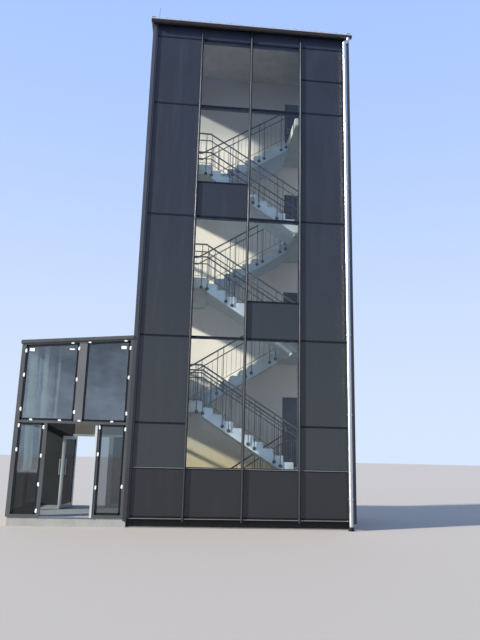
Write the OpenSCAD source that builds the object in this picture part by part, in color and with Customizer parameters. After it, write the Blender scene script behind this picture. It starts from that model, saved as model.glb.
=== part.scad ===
// Stair tower of a building's fire escape, with a glazed entrance porch on its left.
// X runs to the right along the front, Y runs from the front to the back, Z is up.
// The origin is on the ground, at the middle of the tower's plan.

/* [Tower] */
// Width over the corner posts
tower_w = 5500; // [5200:50:6400]
// Depth from the front caps to the back of the rear wall
tower_d = 3050; // [2900:50:3600]
// Height from one floor landing to the next
storey_h = 3180; // [2900:10:3500]
// Height of the lowest floor landing above the ground
first_landing_z = 1370; // [1250:10:1600]
// Height of the ground floor above the ground
floor_z = 205; // [150:5:300]
// Height of the glass above the top floor landing
top_glass_h = 2000; // [1800:10:2400]
// Height of the fascia under the roof's front edge
fascia_h = 390; // [300:10:600]
// Thickness of the rear wall
wall_t = 240; // [180:10:365]

/* [Frame profiles] */
// Width of the caps outside
cap_w = 50; // [40:5:80]
// How far the caps of the posts stand out from the panels
cap_d = 60; // [30:5:90]
// Width of the flat nose of the caps
nose_w = 14; // [8:1:24]
// Depth of the caps' sloping front
nose_d = 22; // [12:1:28]
// How far the caps reach down over the plinth
cap_foot = 60; // [30:5:90]
// Width of the transoms' flat caps
transom_cap_w = 30; // [26:1:50]
// How far the caps of the transoms stand out from the panels
transom_cap_d = 10; // [8:1:25]
// Thickness of the panes and panels
pane_t = 35; // [24:1:50]
// Width of the neck between two panes
neck_w = 20; // [14:2:30]
// Width of the posts and transoms inside
post_w = 60; // [50:5:80]
// Depth of the posts and transoms inside
post_d = 120; // [80:10:180]
// Width of the first step of a corner post
corner_step_w = 90; // [70:5:110]
// Width of the second step of a corner post
corner_second_w = 50; // [40:5:80]
// Depth of the first step of a corner post
corner_step_d = 30; // [15:5:30]

/* [Stairs] */
// Depth of a tread
going = 253; // [243:1:263]
// Risers in each full flight
riser_count = 10; // [9:1:11]
// Risers in the short lowest flight
short_riser_count = 7; // [6:1:8]
// How far the first full far flight stands left of the others
first_shift = 253; // [0:1:270]
// Thickness of a flight under its steps
waist = 190; // [150:10:220]
// Length of the nib that rests on a landing
nib_l = 100; // [60:10:150]
// Height of the nib that rests on a landing
nib_h = 60; // [50:5:90]
// Place of the lowest riser of the near flights, from the tower's middle
near_foot_x = 1290; // [1200:10:1350]
// Distance from the front caps to the near flights
near_edge = 390; // [350:10:450]
// Width of the near flights
near_w = 980; // [900:10:1050]
// Width of the open well between the flights
well_w = 130; // [120:5:180]
// Gap between the far flights and the rear wall
wall_gap = 60; // [20:5:80]
// Thickness of a landing
landing_t = 270; // [260:5:320]
// How far a landing reaches into the rear wall
bearing = 80; // [40:10:120]

/* [Railings] */
// Height of the handrail above the treads and landings
handrail_h = 900; // [850:10:1100]
// Diameter of the handrail
handrail_dia = 42; // [34:1:50]
// Drop from the handrail to the second rail
second_rail_drop = 200; // [150:10:250]
// Diameter of the second rail
rail_dia = 30; // [20:1:34]
// Height of the lower rail above the treads' edges and the landings
lower_rail_h = 35; // [25:5:100]
// Diameter of the lower rail
lower_rail_dia = 16; // [12:1:24]
// Diameter of a baluster
baluster_dia = 8; // [6:1:14]
// Largest distance between balusters
baluster_pitch = 130; // [100:5:160]
// Diameter of a railing post
rail_post_dia = 20; // [18:1:40]
// How far the front railings bend left of the flights' edges
bend_shift = 60; // [30:5:90]
// Distance between the two posts of a pair
twin_gap = 155; // [120:5:200]
// Largest distance between pairs of posts on a floor landing
pair_pitch = 720; // [600:10:1000]
// Length of the well rails beyond the bend on a half landing
left_turn_l = 450; // [300:10:600]
// Length of the well rails beyond the bend on a floor landing
right_turn_l = 150; // [60:10:250]
// Diameter of the round fixing plates
rosette_dia = 80; // [60:5:110]
// Thickness of the round fixing plates
rosette_t = 10; // [6:1:14]
// Distance from a flight's side to the railing's middle
rail_stand_off = 32; // [26:1:40]

/* [Landing doors] */
// Width of a door opening in the rear wall
door_w = 900; // [800:50:1000]
// Height of a door opening in the rear wall
door_h = 1960; // [1900:10:2150]
// Distance from the doors to the tower's right side
door_inset = 450; // [400:10:450]
// Width of the door frames
door_frame_w = 50; // [35:5:70]
// Depth of the door frames
door_frame_d = 110; // [80:10:160]
// Thickness of the doors
door_leaf_t = 55; // [40:5:70]

/* [Roof and rainwater] */
// Slope of the roof in degrees
roof_pitch = 6; // [3:0.5:10]
// Thickness of the roof
roof_t = 110; // [80:10:160]
// How far the roof reaches past the front caps
roof_front = 40; // [20:5:60]
// How far the roof reaches past the sides and the back
roof_side = 50; // [20:5:80]
// Outer diameter of the gutter
gutter_dia = 150; // [125:5:200]
// Thickness of the gutter's sheet
gutter_t = 3; // [2:0.5:4]
// Diameter of the gutter's rolled bead
bead_dia = 20; // [16:1:24]
// Gap between the gutter and the front caps
gutter_gap = 20; // [10:5:40]
// Brackets that carry the gutter
bracket_count = 10; // [6:1:14]
// Diameter of the downpipe
pipe_dia = 100; // [76:1:120]
// Thickness of the downpipe's sheet
pipe_t = 3; // [2:0.5:4]
// Place of the downpipe in from the tower's right side
pipe_inset = 160; // [140:5:170]
// Place of the gutter's outlet in from the tower's right side
outlet_inset = 50; // [45:5:70]
// Length of the straight stub under the outlet
outlet_stub = 55; // [50:5:80]
// Height of the swan neck between the stub and the downpipe
neck_drop = 100; // [80:5:150]
// Height of the downpipe's foot above the ground
pipe_foot = 60; // [30:10:200]
// Clamps on the downpipe
clamp_count = 7; // [4:1:9]
// Height of the lightning rod above the roof
rod_h = 450; // [300:10:800]

/* [Porch] */
// Height of the tower's joint beside the porch above the floor
mid_joint_h = 2180; // [2120:10:2250]
// Width of the porch, to the tower's left side
porch_w = 2620; // [2500:10:3000]
// Height of the porch at its left side
porch_low = 4250; // [3900:10:4300]
// Height of the porch beside the tower
porch_high = 4470; // [4350:10:4480]
// Thickness of the porch roof
porch_roof_t = 80; // [60:5:120]
// Depth of the porch frames
porch_frame_d = 70; // [50:5:90]
// Width of the porch's left corner post
porch_post_w = 100; // [80:5:160]
// Width of the frame beside the tower
porch_end_w = 60; // [50:5:80]
// Width of the pane left of the doorway
left_light_w = 570; // [450:10:620]
// Width of the doorway's left jamb
left_jamb_w = 80; // [50:5:100]
// Width of the pane right of the doorway
right_light_w = 590; // [500:10:650]
// Width of the doorway's right jamb
right_jamb_w = 100; // [60:5:120]
// Height of the doorway above the floor
doorway_h = 2105; // [2000:5:2200]
// Height of the rail over the doorway
porch_rail_h = 60; // [50:5:120]
// Width of the upper left pane
upper_light_w = 1240; // [1000:10:1300]
// Width of the post between the upper panes
upper_post_w = 190; // [120:5:220]
// Width of the sloping rail under the porch roof
top_rail_h = 40; // [35:1:80]
// Height of the frames' bottom rails
bottom_rail_h = 60; // [50:5:90]
// Thickness of the porch's glass
porch_glass_t = 24; // [16:1:32]

/* [Inner door] */
// Wall between the inner screen and the tower's side
screen_inset = 150; // [100:10:250]
// Width of the inner screen
screen_w = 1600; // [1550:10:1650]
// Height of the inner screen above the floor
screen_h = 1915; // [1880:5:2080]
// Width of the inner screen's members
screen_bar = 60; // [50:5:80]
// Depth of the inner screen
screen_d = 60; // [50:5:80]
// Width of the opening for the inner door
inner_door_w = 940; // [880:10:1000]
// Width of the post beside the inner door
screen_post_w = 120; // [90:5:140]
// Thickness of the inner door
inner_leaf_t = 60; // [50:5:70]
// Width of the inner door's stiles and rails
inner_stile_w = 85; // [70:5:110]
// How far the inner door stands open, in degrees
open_angle = 100; // [80:1:105]
// Gap around the inner door
leaf_gap = 8; // [6:1:12]
// Diameter of the hinge knuckles
knuckle_dia = 18; // [14:1:24]
// Height of a hinge knuckle
knuckle_h = 50; // [40:5:80]
// Height of the pull handle's foot above the floor
handle_h = 850; // [750:10:950]

/* [Hidden] */
eps = 0.5;
bay_count = 4;
bay_w = tower_w / bay_count;
half_w = tower_w / 2;
storeys = 3;
pane_back = cap_d + pane_t;
post_back = pane_back + post_d;
corner_cap = corner_step_w + corner_second_w;
corner_neck = corner_cap - neck_w;
corner_back = post_back;
wall_v = tower_d - wall_t;
rise = storey_h / (2 * riser_count);
short_rise = (first_landing_z - floor_z) / short_riser_count;
run = (riser_count - 1) * going;
short_run = (short_riser_count - 1) * going;
near_top_x = near_foot_x - run;
near_back = near_edge + near_w;
far_front = near_back + well_w;
far_back = wall_v - wall_gap;
well_mid = near_back + well_w / 2;
side_inner = half_w - post_back;
transom_drop = 30;
band_t = 20;
slab_inset = 30;
seat_gap = 0.3;
bend_swell = 4;
glass_top_z = floor_level(storeys) + top_glass_h;
eaves_z = glass_top_z + fascia_h;
side_mid = (corner_back + wall_v) / 2;
side_rear = wall_v - post_w / 2;
porch_left = -half_w - porch_w;
porch_d = wall_v + 80;
porch_rail_z = floor_z + doorway_h;
upper_light_z = porch_rail_z + porch_rail_h;
mid_joint_z = floor_z + mid_joint_h;
base_joint_z = floor_z + post_w / 2;
passage_z = porch_rail_z;
gutter_v = -gutter_gap - gutter_dia / 2;
gutter_z = eaves_z - 10;
pipe_x = half_w - pipe_inset;
outlet_x = half_w - outlet_inset;
neck_top_z = gutter_z - gutter_dia / 2 - outlet_stub;
neck_foot_z = neck_top_z - neck_drop;
door_x = half_w - door_inset - door_w;
pipe_v = gutter_v;

// Levels and joints

function floor_level(k) = first_landing_z + k * storey_h;
function half_level(k) = floor_level(k) + storey_h / 2;
function floor_joint(k) = floor_level(k) - transom_drop;
function far_top_x(k) = near_foot_x - (k == 1 ? first_shift : 0);
function far_foot_x(k) = far_top_x(k) - (k == 0 ? short_run : run);
function mullion_x(i) = -half_w + i * bay_w;
function porch_top(x) = porch_low + (x - porch_left) * (porch_high - porch_low) / porch_w;
function porch_under(x) = porch_top(x) - porch_roof_t;
function frame_top(x) = porch_under(x) - seat_gap;

spandrel_h = 960;
crown_h = 990;
crown_joint_z = floor_level(3) + crown_h;

// Heights of the joints of each bay, from the ground up
bay_joints = [
    [base_joint_z, floor_joint(0), mid_joint_z, floor_joint(1), floor_joint(2), floor_joint(3),
        glass_top_z, eaves_z - post_w / 2],
    [base_joint_z, floor_joint(0), floor_joint(1), floor_joint(2), floor_joint(2) + spandrel_h,
        floor_joint(3), glass_top_z, eaves_z - post_w / 2],
    [base_joint_z, floor_joint(0), floor_joint(1), floor_joint(1) + spandrel_h, floor_joint(2),
        floor_joint(3), glass_top_z, eaves_z - post_w / 2],
    [base_joint_z, floor_joint(0), mid_joint_z, floor_joint(1), floor_joint(2), floor_joint(3),
        crown_joint_z, glass_top_z, eaves_z - post_w / 2]
];

// What closes each field between two joints
bay_fields = [
    ["left", "left", "left", "left", "left", "left", "fascia"],
    ["centre", "glass", "glass", "centre", "glass", "glass", "fascia"],
    ["centre", "glass", "centre", "glass", "glass", "glass", "fascia"],
    ["right", "right", "right", "right", "right", "right", "right", "fascia"]
];

// Heights of the joints of the two bays of a side wall
front_side_joints = [base_joint_z, floor_joint(0), mid_joint_z, floor_joint(1), floor_joint(2),
    floor_joint(3), glass_top_z];
rear_side_joints = [base_joint_z, floor_joint(0), floor_joint(1), floor_joint(2),
    floor_joint(3), glass_top_z];
passage_joints = [passage_z + post_w / 2, floor_joint(1), floor_joint(2), floor_joint(3),
    glass_top_z];

// Shared shapes

module from_front() translate([0, -tower_d / 2, 0]) children();

module block(lo, hi) translate(lo) cube(hi - lo);

// A side wall is drawn like the front: its length along X and its depth along Y
module left_side() translate([-half_w, 0, 0]) mirror([1, -1, 0]) children();

module right_side() mirror([1, 0, 0]) left_side() children();

module above_roof()
    translate([-2 * tower_w, 0, eaves_z])
    rotate([roof_pitch, 0, 0])
    translate([0, -tower_d, 0])
    cube([4 * tower_w, 4 * tower_d, storey_h]);

module under_roof() {
    difference() {
        children();
        above_roof();
    }
}

module cap_outline()
    polygon([
        [-nose_w / 2, 0], [nose_w / 2, 0], [cap_w / 2, nose_d], [cap_w / 2, cap_d],
        [-cap_w / 2, cap_d], [-cap_w / 2, nose_d]
    ]);

module body_outline()
    polygon([
        [-neck_w / 2, cap_d], [neck_w / 2, cap_d], [neck_w / 2, pane_back],
        [post_w / 2, pane_back], [post_w / 2, post_back], [-post_w / 2, post_back],
        [-post_w / 2, pane_back], [-neck_w / 2, pane_back]
    ]);

module corner_cap_outline()
    polygon([
        [0, 0], [corner_step_w, 0], [corner_step_w, corner_step_d],
        [corner_cap, corner_step_d], [corner_cap, cap_d], [cap_d, cap_d],
        [cap_d, corner_cap], [corner_step_d, corner_cap], [corner_step_d, corner_step_w],
        [0, corner_step_w]
    ]);

module corner_body_outline()
    polygon([
        [cap_d, cap_d], [corner_neck, cap_d], [corner_neck, pane_back],
        [corner_back, pane_back], [corner_back, corner_back], [pane_back, corner_back],
        [pane_back, corner_neck], [cap_d, corner_neck]
    ]);

module upright(x, z)
    translate([x, 0, z])
    linear_extrude(eaves_z + storey_h / 2 - z)
    children();

// Post with its cap, which reaches down by foot over the plinth
module post(x, foot) {
    upright(x, floor_z - foot) cap_outline();
    upright(x, floor_z) body_outline();
}

module corner_post(foot) {
    upright(-half_w, floor_z - foot) corner_cap_outline();
    upright(-half_w, floor_z) corner_body_outline();
}

// Transom from one post to the next: its cap, its neck and its body
module transom(cap_from, cap_to, body_from, body_to, z) {
    block([cap_from, cap_d - transom_cap_d, z - transom_cap_w / 2],
        [cap_to, cap_d, z + transom_cap_w / 2]);
    block([body_from, cap_d, z - neck_w / 2], [body_to, pane_back, z + neck_w / 2]);
    block([body_from, pane_back, z - post_w / 2], [body_to, post_back, z + post_w / 2]);
}

module pane(x0, x1, z0, z1)
    block([x0, cap_d, z0 + neck_w / 2], [x1, pane_back, z1 - neck_w / 2]);

function bay_cap_from(i) = i == 0 ? -half_w + corner_cap : mullion_x(i) + cap_w / 2;
function bay_cap_to(i) = i == bay_count - 1 ? half_w - corner_cap : mullion_x(i + 1) - cap_w / 2;
function bay_body_from(i) = i == 0 ? -half_w + corner_back : mullion_x(i) + post_w / 2;
function bay_body_to(i) =
    i == bay_count - 1 ? half_w - corner_back : mullion_x(i + 1) - post_w / 2;
function bay_pane_from(i) = i == 0 ? -half_w + corner_neck : mullion_x(i) + neck_w / 2;
function bay_pane_to(i) =
    i == bay_count - 1 ? half_w - corner_neck : mullion_x(i + 1) - neck_w / 2;

// Front of the tower

module front_fields(kind)
    from_front()
    for (i = [0 : bay_count - 1])
        for (j = [0 : len(bay_fields[i]) - 1])
            if (bay_fields[i][j] == kind)
                pane(bay_pane_from(i), bay_pane_to(i), bay_joints[i][j], bay_joints[i][j + 1]);

module base_slab() {
    color("#9a9a96")
    from_front()
    block([-half_w + corner_step_w, corner_step_w, 0], [half_w - corner_step_w, wall_v, floor_z]);
}

module plinth_band() {
    color("#1c1c1e")
    from_front()
    difference() {
        block([-half_w + corner_step_w - band_t, corner_step_w - band_t, 0],
            [half_w - corner_step_w + band_t, wall_v, floor_z]);
        block([-half_w + corner_step_w, corner_step_w, -eps],
            [half_w - corner_step_w, wall_v + eps, floor_z + eps]);
    }
}

module front_mullions() {
    color("#34383f")
    from_front()
    under_roof() {
        corner_post(0);
        block([-half_w, 0, floor_z - cap_foot],
            [-half_w + corner_step_w, slab_inset - seat_gap, floor_z]);
        mirror([1, 0, 0]) corner_post(cap_foot);
        for (i = [1 : bay_count - 1]) post(mullion_x(i), cap_foot);
    }
}

module front_transoms() {
    color("#34383f")
    from_front()
    for (i = [0 : bay_count - 1])
        for (z = bay_joints[i])
            transom(bay_cap_from(i), bay_cap_to(i), bay_body_from(i), bay_body_to(i), z);
}

module left_bay_panels() {
    color("#3e434c") front_fields("left");
}

module right_bay_panels() {
    color("#3e434c") front_fields("right");
}

module centre_panels() {
    color("#3e434c") front_fields("centre");
}

module front_glass() {
    color("#9fb0ad", 0.45) front_fields("glass");
}

module fascia_panels() {
    color("#2c2e33") front_fields("fascia");
}

// Side walls

module side_posts(foot) {
    post(side_mid, foot);
    post(side_rear, foot);
}

module side_transoms(front_joints, rear_joints) {
    for (z = front_joints)
        transom(corner_cap, side_mid - cap_w / 2, corner_back, side_mid - post_w / 2, z);
    for (z = rear_joints)
        transom(side_mid + cap_w / 2, side_rear - cap_w / 2,
            side_mid + post_w / 2, side_rear - post_w / 2, z);
}

module front_side_panels()
    for (j = [0 : len(front_side_joints) - 1])
        pane(corner_neck, side_mid - neck_w / 2, front_side_joints[j],
            j < len(front_side_joints) - 1 ? front_side_joints[j + 1] : eaves_z + storey_h / 2);

module rear_side_field(joints, j)
    pane(side_mid + neck_w / 2, side_rear - neck_w / 2, joints[j],
        j < len(joints) - 1 ? joints[j + 1] : eaves_z + storey_h / 2);

module left_wall_frame() {
    color("#34383f")
    from_front()
    under_roof()
    left_side() {
        side_posts(0);
        side_transoms(front_side_joints, passage_joints);
    }
}

module left_wall_panels() {
    color("#3e434c")
    from_front()
    under_roof()
    left_side() {
        front_side_panels();
        rear_side_field(passage_joints, len(passage_joints) - 1);
    }
}

module left_wall_glass() {
    color("#9fb0ad", 0.45)
    from_front()
    left_side()
    for (j = [0 : len(passage_joints) - 2]) rear_side_field(passage_joints, j);
}

module right_wall_frame() {
    color("#34383f")
    from_front()
    under_roof()
    right_side() {
        side_posts(cap_foot);
        side_transoms(front_side_joints, rear_side_joints);
    }
}

module right_wall_panels() {
    color("#3e434c")
    from_front()
    under_roof()
    right_side() {
        front_side_panels();
        rear_side_field(rear_side_joints, 0);
        rear_side_field(rear_side_joints, len(rear_side_joints) - 1);
    }
}

module right_wall_glass() {
    color("#9fb0ad", 0.45)
    from_front()
    right_side()
    for (j = [1 : len(rear_side_joints) - 2]) rear_side_field(rear_side_joints, j);
}

// Rear wall and its doors

module door_openings(grow = 0)
    for (k = [0 : storeys])
        block([door_x, wall_v - grow, floor_level(k)],
            [door_x + door_w, tower_d + grow, floor_level(k) + door_h]);

module back_wall() {
    color("#e3dac0")
    from_front()
    under_roof()
    difference() {
        block([-half_w, wall_v, 0], [half_w, tower_d, eaves_z + storey_h / 2]);
        door_openings(eps);
        floor_landing_shapes();
        half_landing_shapes();
    }
}

module landing_door_frames() {
    color("#2d3340")
    from_front()
    for (k = [0 : storeys])
        difference() {
            block([door_x, wall_v, floor_level(k)],
                [door_x + door_w, wall_v + door_frame_d, floor_level(k) + door_h]);
            block([door_x + door_frame_w, wall_v - eps, floor_level(k) - eps],
                [door_x + door_w - door_frame_w, wall_v + door_frame_d + eps,
                    floor_level(k) + door_h - door_frame_w]);
        }
}

module landing_doors() {
    color("#232a3a")
    from_front()
    for (k = [0 : storeys])
        block([door_x + door_frame_w, wall_v + door_frame_d - door_leaf_t, floor_level(k)],
            [door_x + door_w - door_frame_w, wall_v + door_frame_d,
                floor_level(k) + door_h - door_frame_w]);
}

// Roof and rainwater

module roof_shape()
    translate([-half_w - roof_side, 0, eaves_z])
    rotate([roof_pitch, 0, 0])
    translate([0, -roof_front, 0])
    cube([tower_w + 2 * roof_side, roof_front + tower_d + roof_side, roof_t]);

module roof() {
    color("#55585c") from_front() roof_shape();
}

module gutter_channel(r)
    intersection() {
        circle(r, $fn = 48);
        translate([-gutter_dia, -gutter_dia]) square([2 * gutter_dia, gutter_dia]);
    }

module gutter_outline() {
    difference() {
        gutter_channel(gutter_dia / 2);
        gutter_channel(gutter_dia / 2 - gutter_t);
    }
    translate([-gutter_dia / 2, 0]) circle(bead_dia / 2, $fn = 24);
}

module gutter() {
    gutter_l = tower_w + 2 * roof_side;
    color("#b9bdbf")
    from_front()
    difference() {
        translate([-gutter_l / 2, gutter_v, gutter_z])
        rotate([90, 0, 90]) {
            linear_extrude(gutter_l) gutter_outline();
            for (x = [0, gutter_l - gutter_t])
                translate([0, 0, x]) linear_extrude(gutter_t) gutter_channel(gutter_dia / 2);
        }
        translate([outlet_x, gutter_v, gutter_z - gutter_dia])
        cylinder(h = gutter_dia, d = pipe_dia - 2 * pipe_t, $fn = 48);
    }
}

module gutter_brackets() {
    strap_w = 25;
    strap_t = 5;
    first_x = -half_w + corner_cap + strap_w;
    last_x = pipe_x - pipe_dia;
    color("#6e6256")
    from_front()
    for (i = [0 : bracket_count - 1])
        translate([first_x + i * (last_x - first_x) / (bracket_count - 1) - strap_w / 2, 0, 0])
        difference() {
            union() {
                translate([0, gutter_v, gutter_z])
                rotate([90, 0, 90])
                linear_extrude(strap_w)
                difference() {
                    gutter_channel(gutter_dia / 2 + strap_t);
                    circle(gutter_dia / 2, $fn = 48);
                    translate([-gutter_dia / 2, 0]) circle(bead_dia / 2 + seat_gap, $fn = 24);
                }
                block([0, -gutter_gap, gutter_z - strap_t],
                    [strap_w, -2 * eps, gutter_z + roof_t]);
            }
            above_roof();
        }
}

// Stub under the outlet, slope of the swan neck and downpipe, with round bends between them
module pipe_run(dia, over) {
    shift = pipe_x - outlet_x;
    translate([outlet_x, pipe_v, neck_top_z])
    cylinder(h = gutter_z - neck_top_z, d = dia, $fn = 48);
    translate([outlet_x, pipe_v, neck_top_z])
    rotate([0, 180 + atan2(-shift, neck_drop), 0])
    cylinder(h = norm([shift, neck_drop]), d = dia, $fn = 48);
    translate([pipe_x, pipe_v, pipe_foot - over])
    cylinder(h = neck_foot_z - pipe_foot + over, d = dia, $fn = 48);
    translate([outlet_x, pipe_v, neck_top_z]) sphere(d = dia + bend_swell, $fn = 48);
    translate([pipe_x, pipe_v, neck_foot_z]) sphere(d = dia + bend_swell, $fn = 48);
}

module downpipe() {
    color("#c3c7c8")
    from_front()
    difference() {
        pipe_run(pipe_dia, 0);
        pipe_run(pipe_dia - 2 * pipe_t, eps);
        translate([-half_w, gutter_v, gutter_z])
        rotate([90, 0, 90])
        cylinder(h = 2 * tower_w, d = gutter_dia, $fn = 48);
    }
}

module downpipe_clamps() {
    clamp_h = 40;
    clamp_t = 6;
    stem = 14;
    stem_x = half_w - corner_cap + stem + eps - pipe_x;
    first_clamp_z = 700;
    pitch = (eaves_z - 2 * first_clamp_z) / (clamp_count - 1);
    color("#a9adb0")
    from_front()
    for (i = [0 : clamp_count - 1])
        translate([pipe_x, 0, first_clamp_z + i * pitch])
        difference() {
            union() {
                translate([0, pipe_v, 0])
                cylinder(h = clamp_h, d = pipe_dia + 2 * clamp_t, $fn = 48);
                block([stem_x - stem / 2, pipe_v, clamp_h / 2 - stem / 2],
                    [stem_x + stem / 2, corner_step_d, clamp_h / 2 + stem / 2]);
            }
            translate([0, pipe_v, -eps])
            cylinder(h = clamp_h + 2 * eps, d = pipe_dia, $fn = 48);
        }
}

module lightning_rod() {
    rod_dia = 16;
    foot_dia = 80;
    foot_h = 30;
    color("#8f9396")
    from_front()
    difference() {
        translate([-half_w + corner_cap, corner_cap, eaves_z]) {
            cylinder(h = roof_t + foot_h, d = foot_dia, $fn = 32);
            cylinder(h = roof_t + rod_h, d = rod_dia, $fn = 24);
        }
        roof_shape();
        translate([-tower_w, -tower_d, 0])
        cube([2 * tower_w, 3 * tower_d, eaves_z + roof_t / 2]);
    }
}

// Stairs

// Side view of a flight that rises to the right from [0, 0]
function flight_points(n, r, t) = concat(
    [[-nib_l, 0]],
    [for (i = [0 : n - 1]) each [[i * going, i * r], [i * going, (i + 1) * r]]],
    [
        [(n - 1) * going + nib_l, n * r],
        [(n - 1) * going + nib_l, (n - 1) * r - nib_h],
        [(n - 1) * going, (n - 1) * r - nib_h],
        [(n - 1) * going, (n - 1) * r - t],
        [0, -t],
        [0, -nib_h],
        [-nib_l, -nib_h]
    ]
);

// The lowest flight stands on the floor with a flat foot
function short_flight_points(n, r, t) = concat(
    [for (i = [0 : n - 1]) each [[i * going, i * r], [i * going, (i + 1) * r]]],
    [
        [(n - 1) * going + nib_l, n * r],
        [(n - 1) * going + nib_l, (n - 1) * r - nib_h],
        [(n - 1) * going, (n - 1) * r - nib_h],
        [(n - 1) * going, (n - 1) * r - t],
        [t * going / r, 0]
    ]
);

function drop_under(r) = waist * sqrt(going * going + r * r) / going;

module extrude_back(depth)
    translate([0, depth, 0]) rotate([90, 0, 0]) linear_extrude(depth) children();

// Far flight k rises to the right, from the half landing below to floor landing k
module far_flight(k) {
    color("#bcc6ca")
    from_front()
    translate([far_foot_x(k), far_front, k == 0 ? floor_z : half_level(k - 1)])
    extrude_back(far_back - far_front)
    polygon(k == 0 ? short_flight_points(short_riser_count, short_rise, drop_under(short_rise))
        : flight_points(riser_count, rise, drop_under(rise)));
}

// Near flight k rises to the left, from floor landing k to half landing k
module near_flight(k) {
    color("#bcc6ca")
    from_front()
    translate([near_foot_x, near_edge, floor_level(k)])
    mirror([1, 0, 0])
    extrude_back(near_w)
    polygon(flight_points(riser_count, rise, drop_under(rise)));
}

// Landing on the right, with its top at z = 0 and a rebate for each flight's nib
module landing_shape(near_x, far_x, near_cut, far_cut) {
    difference() {
        union() {
            block([near_x, near_edge, -landing_t], [side_inner, well_mid, 0]);
            block([far_x, well_mid, -landing_t], [side_inner, wall_v + bearing, 0]);
        }
        if (near_cut > 0)
            block([near_x - eps, near_edge - eps, -near_cut], [near_x + nib_l, near_back, eps]);
        block([far_x - eps, far_front, -far_cut], [far_x + nib_l, far_back, eps]);
    }
}

module floor_landing_shapes()
    for (k = [0 : storeys])
        translate([0, 0, floor_level(k)])
        landing_shape(near_foot_x, far_top_x(k), k < storeys ? nib_h : 0,
            nib_h + (k == 0 ? short_rise : rise));

module half_landing_shapes()
    for (k = [0 : storeys - 1])
        translate([0, 0, half_level(k)])
        mirror([1, 0, 0])
        landing_shape(-near_top_x, -far_foot_x(k + 1), nib_h + rise, nib_h);

module floor_landings() {
    color("#b9c2c0") from_front() floor_landing_shapes();
}

module half_landings() {
    color("#b9c2c0") from_front() half_landing_shapes();
}

module flight_1() far_flight(0);
module flight_2() near_flight(0);
module flight_3() far_flight(1);
module flight_4() near_flight(1);
module flight_5() far_flight(2);
module flight_6() near_flight(2);
module flight_7() far_flight(3);

// Railings: each is a chain of straight stretches in one upright plane.
// A chain is a list of [x, z] points on the line of the treads' edges and the landings.

module bar(from, to, dia) {
    step = to - from;
    translate([from[0], 0, from[1]])
    rotate([0, atan2(step[0], step[1]), 0])
    cylinder(h = norm(step), d = dia, $fn = 8);
}

function raised(p, h) = [p[0], p[1] + h];

function between(a, b, t) = a + (b - a) * t;

// A bend is a little slimmer than its rails, so that it meets their faces cleanly
module rail_line(chain, h, dia) {
    for (i = [0 : len(chain) - 2]) bar(raised(chain[i], h), raised(chain[i + 1], h), dia);
    if (len(chain) > 2)
        for (i = [1 : len(chain) - 2])
            translate([chain[i][0], 0.45 * dia, chain[i][1] + h])
            rotate([90, 0, 0])
            cylinder(h = 0.9 * dia, d = 0.96 * dia, $fn = 16);
}

// Middles of the pairs of posts, spread evenly between a and b
function even_pairs(a, b) =
    let (count = ceil(abs(b - a) / pair_pitch))
    [for (i = [0 : count - 1]) a + (b - a) * (i + 0.5) / count];

function post_places(pairs) =
    [for (x = pairs, side = [-1, 1]) x + side * twin_gap / 2];

function is_clear(x, places) =
    len([for (p = places) if (abs(p - x) < rail_post_dia + baluster_dia) p]) == 0;

// Balusters between a and b, left out where a post stands
module balusters(a, b, posts) {
    count = ceil(abs(b[0] - a[0]) / baluster_pitch);
    for (i = [1 : count - 1]) {
        p = between(a, b, i / count);
        if (is_clear(p[0], posts))
            bar(raised(p, lower_rail_h), raised(p, handrail_h - second_rail_drop), baluster_dia);
    }
}

// Posts with their round plates, drop below the line of the treads' edges
module rail_posts(a, b, posts, drop) {
    slope = (b[1] - a[1]) / (b[0] - a[0]);
    for (x = posts) {
        z = min(max(a[1] + (x - a[0]) * slope, min(a[1], b[1])), max(a[1], b[1]));
        bar([x, z - drop - rosette_dia / 4], [x, z + handrail_h], rail_post_dia);
        translate([x, 0, z - drop])
        rotate([-90, 0, 0])
        cylinder(h = rail_stand_off - rosette_t / 2, d = stem_dia, $fn = 16);
        translate([x, rail_stand_off - rosette_t, z - drop])
        rotate([-90, 0, 0])
        cylinder(h = rosette_t, d = rosette_dia, $fn = 32);
    }
}

// Railing along a chain. Each stretch has a list of its pairs of posts and their drop.
module railing(chain, pairs, drops) {
    all_posts = post_places([for (list = pairs) each list]);
    rail_line(chain, handrail_h, handrail_dia);
    rail_line(chain, handrail_h - second_rail_drop, rail_dia);
    rail_line(chain, lower_rail_h, lower_rail_dia);
    for (i = [0 : len(chain) - 2]) {
        balusters(chain[i], chain[i + 1], all_posts);
        rail_posts(chain[i], chain[i + 1], post_places(pairs[i]), drops[i]);
    }
}

stem_dia = 16;
landing_pair_x = 760;
landing_pair_pitch = 580;
slope_drop = 260;
short_drop = 130;
edge_drop = 100;
end_pair = twin_gap / 2 + rosette_dia / 2 + 22;
rail_end = side_inner - 60;
near_bend_x = near_foot_x + going - bend_shift;
left_turn_x = near_top_x - going - left_turn_l;
right_turn_x = near_foot_x + going + right_turn_l;

// Four pairs on a flight, from its left end
function flight_pairs(x) = [x + end_pair, x + 0.315 * run, x + 0.653 * run, x + run - end_pair];

module front_railings() {
    edge = near_top_x - 83;
    color("#4a4d50")
    from_front()
    translate([0, near_edge - rail_stand_off, 0]) {
        for (k = [0 : storeys - 1])
            railing([
                [rail_end, floor_level(k)], [near_bend_x, floor_level(k)],
                [near_top_x - bend_shift, half_level(k)], [-rail_end, half_level(k)]
            ], [
                even_pairs(rail_end, near_bend_x),
                [for (i = [0 : 3]) edge + i * 0.286 * run],
                [for (i = [0, 1]) near_top_x - landing_pair_x - i * landing_pair_pitch]
            ], [edge_drop, slope_drop, edge_drop]);
        railing([[rail_end, floor_level(storeys)], [near_foot_x + nib_l, floor_level(storeys)]],
            [even_pairs(rail_end, near_foot_x + nib_l)], [edge_drop]);
    }
}

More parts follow.
